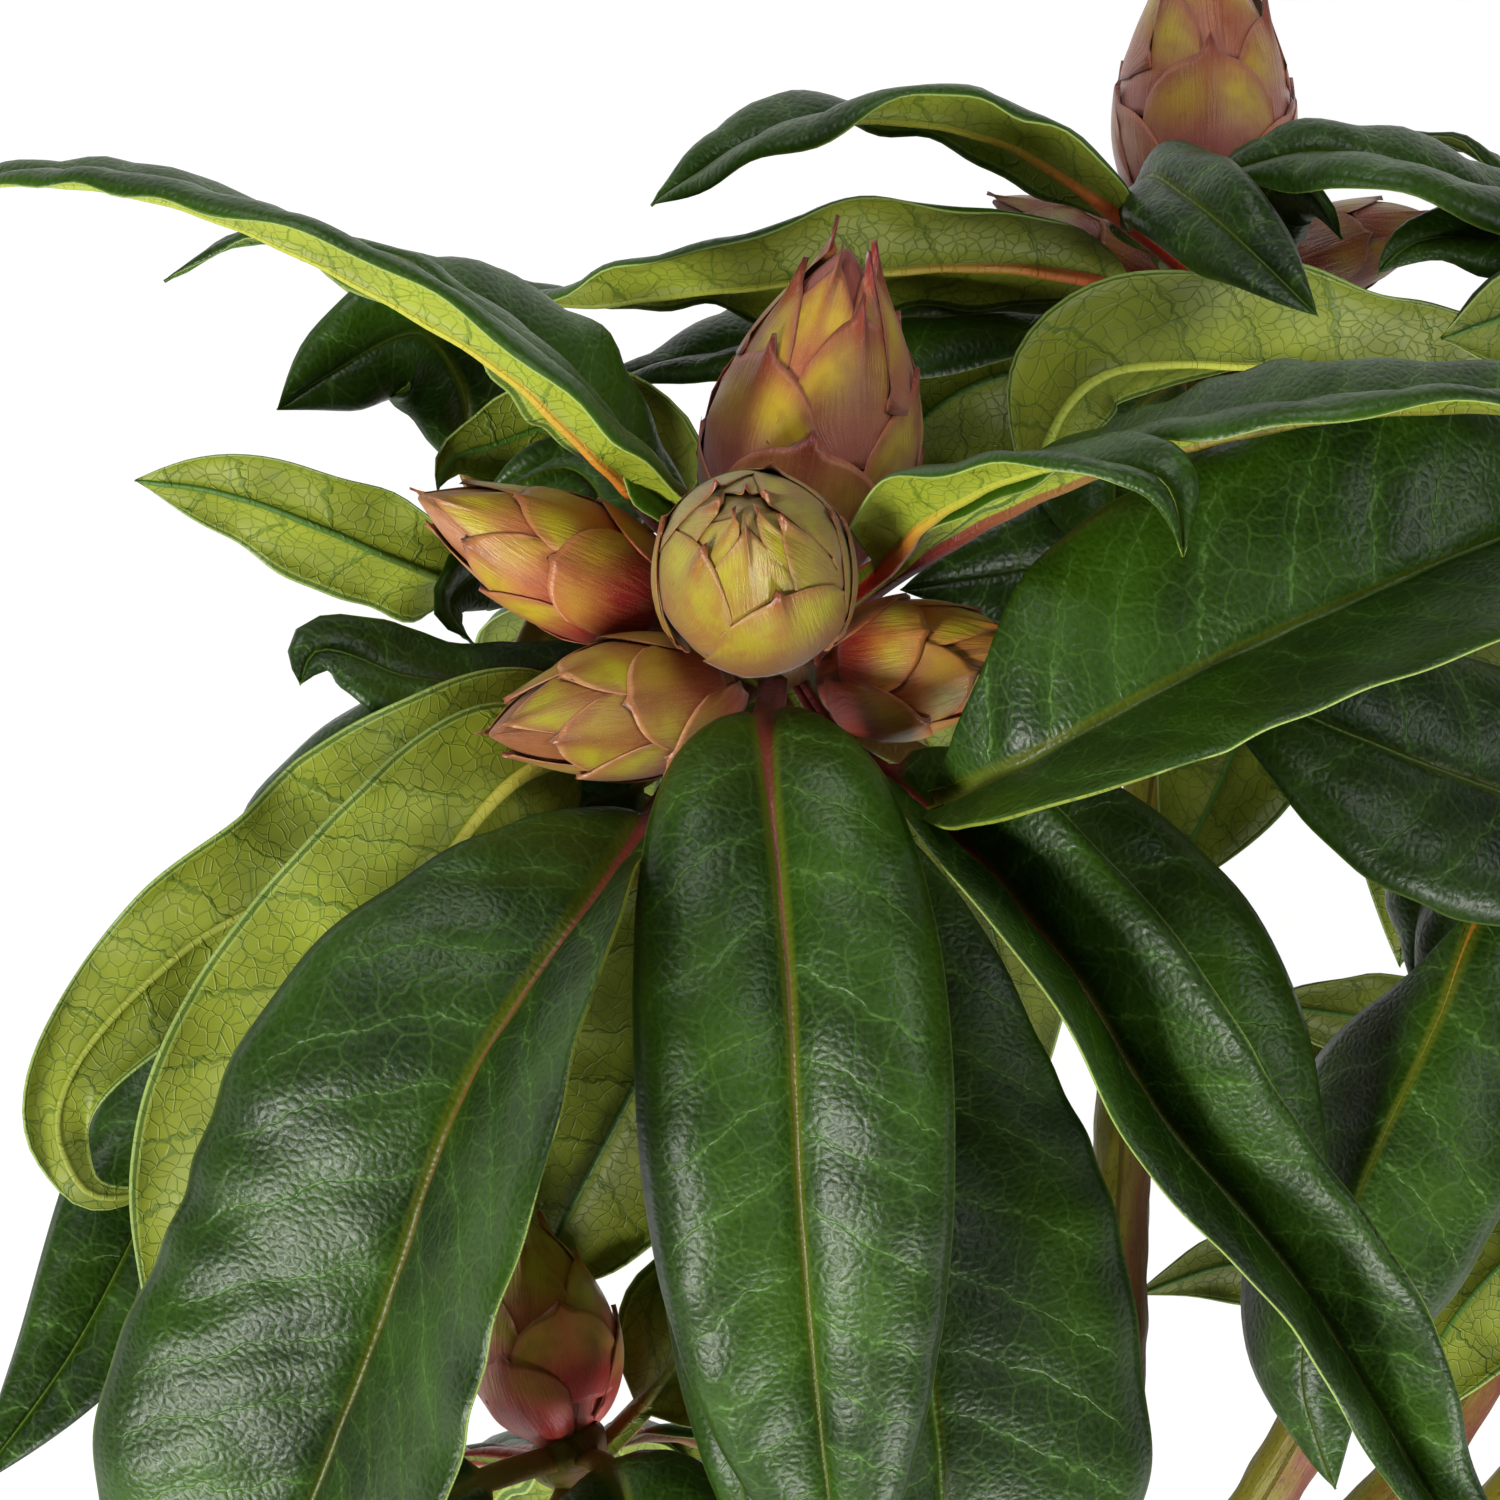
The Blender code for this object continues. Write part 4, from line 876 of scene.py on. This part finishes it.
def add_scale(shell, place, angle, start, reach, spread, open_, spike, palette, layer, seed):
    """Add one scale: a round-topped plate that hugs the core, lifts off it and ends in a small point."""
    base, tip, width = place
    origin, axis, first, second, length = bud_frame(base, tip)
    v = np.linspace(0, 1, SCALE_ROWS)[:, None]
    step = np.linspace(-1, 1, SCALE_COLUMNS)[None, :]
    w = np.sign(step) * np.abs(step) ** 1.35
    dome = np.sqrt(np.clip(1 - np.abs(w) ** 2.3, 0, 1))
    point = np.clip(1 - np.abs(w) / 0.16, 0, 1) ** 1.4
    t = start + reach * v * (0.25 + 0.75 * dome)
    radius = np.maximum(bud_radius(np.clip(t, 0.02, 0.985), width * SCALE_SHARE), 0.05 * width)
    thinner = 1 - 0.45 * (1 - ease(v / 0.35)) - 0.12 * v
    turned = angle + spread * thinner * w
    lift = 0.05 + 0.05 * layer + (0.12 + 0.8 * open_) * v ** 1.6 * (1 - 0.5 * w**2)
    keel = 0.22 * np.exp(-((w / 0.15) ** 2)) * v**2
    ripple = 0.12 * np.sin(3 * np.pi * v + seed + 2 * w) * w**2
    out = radius + lift + keel + ripple
    rise = t * length + spike * point * v**7
    ray = rays(turned, first, second)
    outer = origin + axis * rise[..., None] + ray * out[..., None]
    depth = 0.30 * (1 - 0.7 * v) + 0.5 * point * v**7
    inner = outer - ray * depth[..., None]
    low, middle, crown, top, edge, spike_colour = SCALES[palette]
    gold = np.exp(-(((v - 0.70) / 0.22) ** 2)) * (1 - 0.6 * np.exp(-((w / 0.2) ** 2)))
    gold = gold * (1 - np.abs(w) ** 3) * (0.85 + 0.35 * np.sin(seed * 2.1 + 2.5 * w))
    gold = np.clip(gold * (0.2 + 0.8 * ease((t - 0.2) / 0.35)), 0, 1)
    paint = blend_colours((low, middle, crown), (0.42, 0.76, 1.15), 1.04 * t + 0.3 * v)
    rim = np.clip(v**14 + np.abs(w) ** 12 * 0.8, 0, 1)
    dark = np.clip(np.exp(-((w / 0.16) ** 2)) * v**3 * 0.9, 0, 1) * min(1, 0.35 + spike / 3)
    for share, colour in ((gold, top), (rim * 0.55, edge), (dark, spike_colour)):
        paint = paint * (1 - share[..., None]) + np.append(linear(colour), 1) * share[..., None]
    flat = np.stack([radius * spread * w, reach * length * v + 0 * w, seed + 0 * v + 0 * w], -1)
    numbers = {"scale_flat": flat, "scale_paint": paint}
    shell.plate(outer, inner, np.zeros(2 * SCALE_COLUMNS), numbers)


def make_bud(name, look):
    """A bud's core under its spiral of overlapping scales."""
    base, tip, width, palette, count, spike, open_ = BUDS[name]
    origin, axis, first, second, length = bud_frame(base, tip)
    shell = Shell()
    t = np.linspace(0.005, 0.985, 24)
    ring = around(BUD_SIDES)
    radius = bud_radius(t, width * CORE_SHARE)
    ray = rays(ring, first, second)[None]
    loops = origin + axis * (t * length)[:, None, None] + ray * radius[:, None, None]
    flat = np.stack(np.broadcast_arrays(ring[None] * width / 2, (t * length)[:, None], 0.0), -1)
    low, middle, crown = SCALES[palette][:3]
    paint = blend_colours((low, middle, crown), (0, 0.5, 1), np.broadcast_to(t[:, None], flat.shape[:2]))
    shell.loops(loops, np.zeros(BUD_SIDES), {"scale_flat": flat, "scale_paint": paint})
    scales = [(i * GOLDEN_ANGLE + len(name), 0.42 + 0.57 * (i / (count - 1)) ** 0.9) for i in range(count)]
    if name in FACING_SCALES:
        scales = [scale for scale in scales if math.cos(scale[0]) < -0.1]
        scales += [(2 * math.pi * turn, top) for turn, top in FACING_SCALES[name]]
    for i, (angle, top) in enumerate(scales):
        reach = 0.50 - 0.14 * top
        add_scale(shell, BUDS[name][:3], angle, max(top - reach, 0.0), min(reach, top), 1.2 - 0.25 * top,
                  open_, spike * (0.5 + 0.5 * top), palette, len(scales) - i, i * 1.7 + len(name))
    return shell.build(f"scales_{name}", [look])


def add_stem(shell, path, radii, seed):
    """Add a stem of many short rings with lengthwise wrinkles and low knuckles."""
    along = unit(np.gradient(path, axis=0))
    first = carried(UP if abs(along[0][2]) < 0.9 else np.array((0.0, 1.0, 0.0)), along)
    second = np.cross(along, first)
    run = np.concatenate([[0], np.cumsum(np.linalg.norm(np.diff(path, axis=0), axis=1))])[:, None]
    ring = around(STEM_SIDES)[None]
    wrinkles = np.sin(11 * ring + 2.0 * np.sin(0.21 * run + seed))
    relief = 0.07 * wrinkles * np.sin(0.33 * run + 3 * np.sin(ring))
    relief += 0.10 * np.sin(0.9 * run + 2 * np.sin(ring * 2 + seed)) * np.sin(ring * 3 + seed + 0.13 * run)
    side = 0.5 + 0.5 * np.cos(ring - run // KNUCKLE_STEP * 2.4 - seed)
    knuckle = 0.35 * np.exp(-((run % KNUCKLE_STEP - 13) / 1.6) ** 2) * side
    radius = radii[:, None] + relief + knuckle
    loops = path[:, None] + rays(ring, first[:, None], second[:, None]) * radius[..., None]
    flat = np.stack(np.broadcast_arrays(ring * radii[:, None], run, float(seed)), -1)
    shell.loops(loops, np.zeros(STEM_SIDES), {"bark_flat": flat})


def make_bough(whorl, looks):
    """One shoot from the knob through its whorl's twig to the swollen end that carries the buds."""
    leaving, places = BOUGHS[whorl]
    fork = true_place(FORK)
    leaving = unit(np.array(leaving))
    foot, head, radius = TWIGS[whorl]
    foot = true_place(foot)
    head = true_place(head)
    axis = unit(head - foot)
    course = [fork + leaving * (KNOB_RADIUS - 2.5), fork + leaving * (KNOB_RADIUS + 9)]
    course += [true_place(place) for place in places]
    course += [foot - axis * 6, foot, head + axis * radius * 1.2]
    _, length = smooth_course(course, 2)
    path, length = smooth_course(course, int(length / STEM_RING_STEP) + 2)
    run = np.linspace(0, length, len(path))
    end = run[-1] - radius * 1.2
    radii = np.interp(run, (0, 14, end), (BOUGH_START_RADIUS + 1.2, BOUGH_START_RADIUS, radius))
    radii += radius * 0.75 * np.exp(-((run - end) / (radius * 1.2)) ** 2)
    radii[-2:] *= (0.75, 0.4)
    shell = Shell()
    add_stem(shell, path, radii, len(whorl))
    return shell.build(f"bark_{whorl}", looks)


def make_main_stem(looks):
    """The stem from its pale flat cut to the swollen knob where the shoots part."""
    places = [true_place(place) for place in MAIN_STEM]
    along = unit(places[-1] - places[-2])
    places.append(places[-1] + along * (KNOB_RADIUS - 0.6))
    path, length = smooth_course(places, 60)
    away = np.linalg.norm(path - true_place(FORK), axis=1)
    thin = np.linspace(*MAIN_RADII, len(path))
    knob = np.sqrt(np.clip((KNOB_RADIUS - 0.2) ** 2 - away**2, 0.8, None))
    radii = (thin**8 * (np.linspace(length, 0, len(path)) > KNOB_RADIUS) + knob**8) ** (1 / 8)
    shell = Shell()
    add_stem(shell, path, radii, 1)
    ring = around(STEM_SIDES)
    reach = np.array((MAIN_RADII[0] * 0.985, 3.0, 1.0, 0.02))
    loops = np.stack([np.stack([np.cos(ring) * r, 0 * ring - 0.02, np.sin(ring) * r], -1) for r in reach])
    loops = loops + path[0]
    flat = np.stack(np.broadcast_arrays(ring[None], reach[:, None], 0.0), -1)
    shell.loops(loops, np.ones(STEM_SIDES), {"bark_flat": flat})
    return shell.build("bark_main_stem", looks)


def area_light(name, place, size, power, colour):
    data = bpy.data.lights.new(name, "AREA")
    data.shape = "DISK"
    data.size = size
    data.energy = power
    data.color = colour
    light = add_object(name, data)
    light.location = place
    light.rotation_euler = (Vector(LIT_PLACE) - Vector(place)).to_track_quat("-Z", "Y").to_euler()


def set_stage():
    """A pale floor that gives off light, four soft lights and the camera that looks straight down."""
    scene = bpy.context.scene
    look = Look("pale_floor")
    place = look.node("TexCoord", "Object")
    tint = look.mix(look.noise(place, 9.0, 2.0) * 0.3, "floor_light", "floor_dark")
    look.set(Base_Color=tint, Roughness=0.9, Emission_Color="white", Emission_Strength=0.97)
    mesh = bpy.data.meshes.new("floor")
    corners = [(x * FLOOR_HALF, y * FLOOR_HALF, 0) for x, y in ((-1, -1), (1, -1), (1, 1), (-1, 1))]
    mesh.from_pydata(corners, [], [(0, 1, 2, 3)])
    mesh.materials.append(look.material)
    floor = add_object("floor", mesh)
    world = bpy.data.worlds.new("pale_room")
    world.use_nodes = True
    background = world.node_tree.nodes["Background"]
    background.inputs["Color"].default_value = (0.95, 0.98, 1.0, 1)
    background.inputs["Strength"].default_value = 0.06
    scene.world = world
    for name, light in LIGHTS.items():
        area_light(name, *light)
    data = bpy.data.cameras.new("photo_camera")
    data.sensor_width = SENSOR
    data.lens = SENSOR * EYE_HEIGHT / VIEW_WIDTH
    data.clip_start = 0.01
    data.clip_end = 20
    camera = add_object("photo_camera", data)
    camera.location = SHIFT + np.array((0, 0, EYE_HEIGHT * MM))
    scene.camera = camera
    scene.view_settings.view_transform = "Standard"


def place_piece(piece, node):
    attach(piece, "root")
    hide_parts(node)


def whorl_groups(whorl):
    """The rows of a whorl, in groups small enough for one mesh each, and whether a group is fine."""
    rows = list(LEAVES[whorl])
    for along, heading, reach, droop, width in BACK_LEAVES[whorl]:
        rows.append(leaf(along, (heading, reach, droop), width, rib="red", back=True))
    fine = [row for row in rows if row["width"] >= FINE_WIDTH and not row["back"]]
    rest = [row for row in rows if row not in fine]
    return [(fine, True), (rest, False)] if whorl == "front" else [(rows, False)]


cut = next(mount for mount in frame["record"]["mounts"] if mount["name"] == "cut_end")
SHIFT = np.array(cut["pos_m"]) - true_place(MAIN_STEM[0]) * MM

leaf_looks = [upper_look(), under_look()]
for whorl in LEAVES:
    for part, (rows, fine) in enumerate(whorl_groups(whorl)):
        shell = Shell()
        for i, row in enumerate(rows):
            add_leaf(shell, whorl, row, 0.7 + 1.37 * i + len(whorl) + 5 * part, fine)
        piece = shell.build(f"foliage_{whorl}_{part}", leaf_looks)
        place_piece(piece, f"leaves_{whorl}")
olive = bark_look("bark_olive", "olive_lit_side", "olive_shade_side")
brown = bark_look("bark_brown", "brown_lit_side", "brown_shade_side")
for whorl in BOUGHS:
    look = brown if whorl in ("right", "low_right", "low_back") else olive
    place_piece(make_bough(whorl, [look]), f"stem_{whorl}")
place_piece(make_main_stem([brown, wood_look()]), "main_stem")
scales = scale_look()
for name in BUDS:
    place_piece(make_bud(name, scales), name)

set_stage()
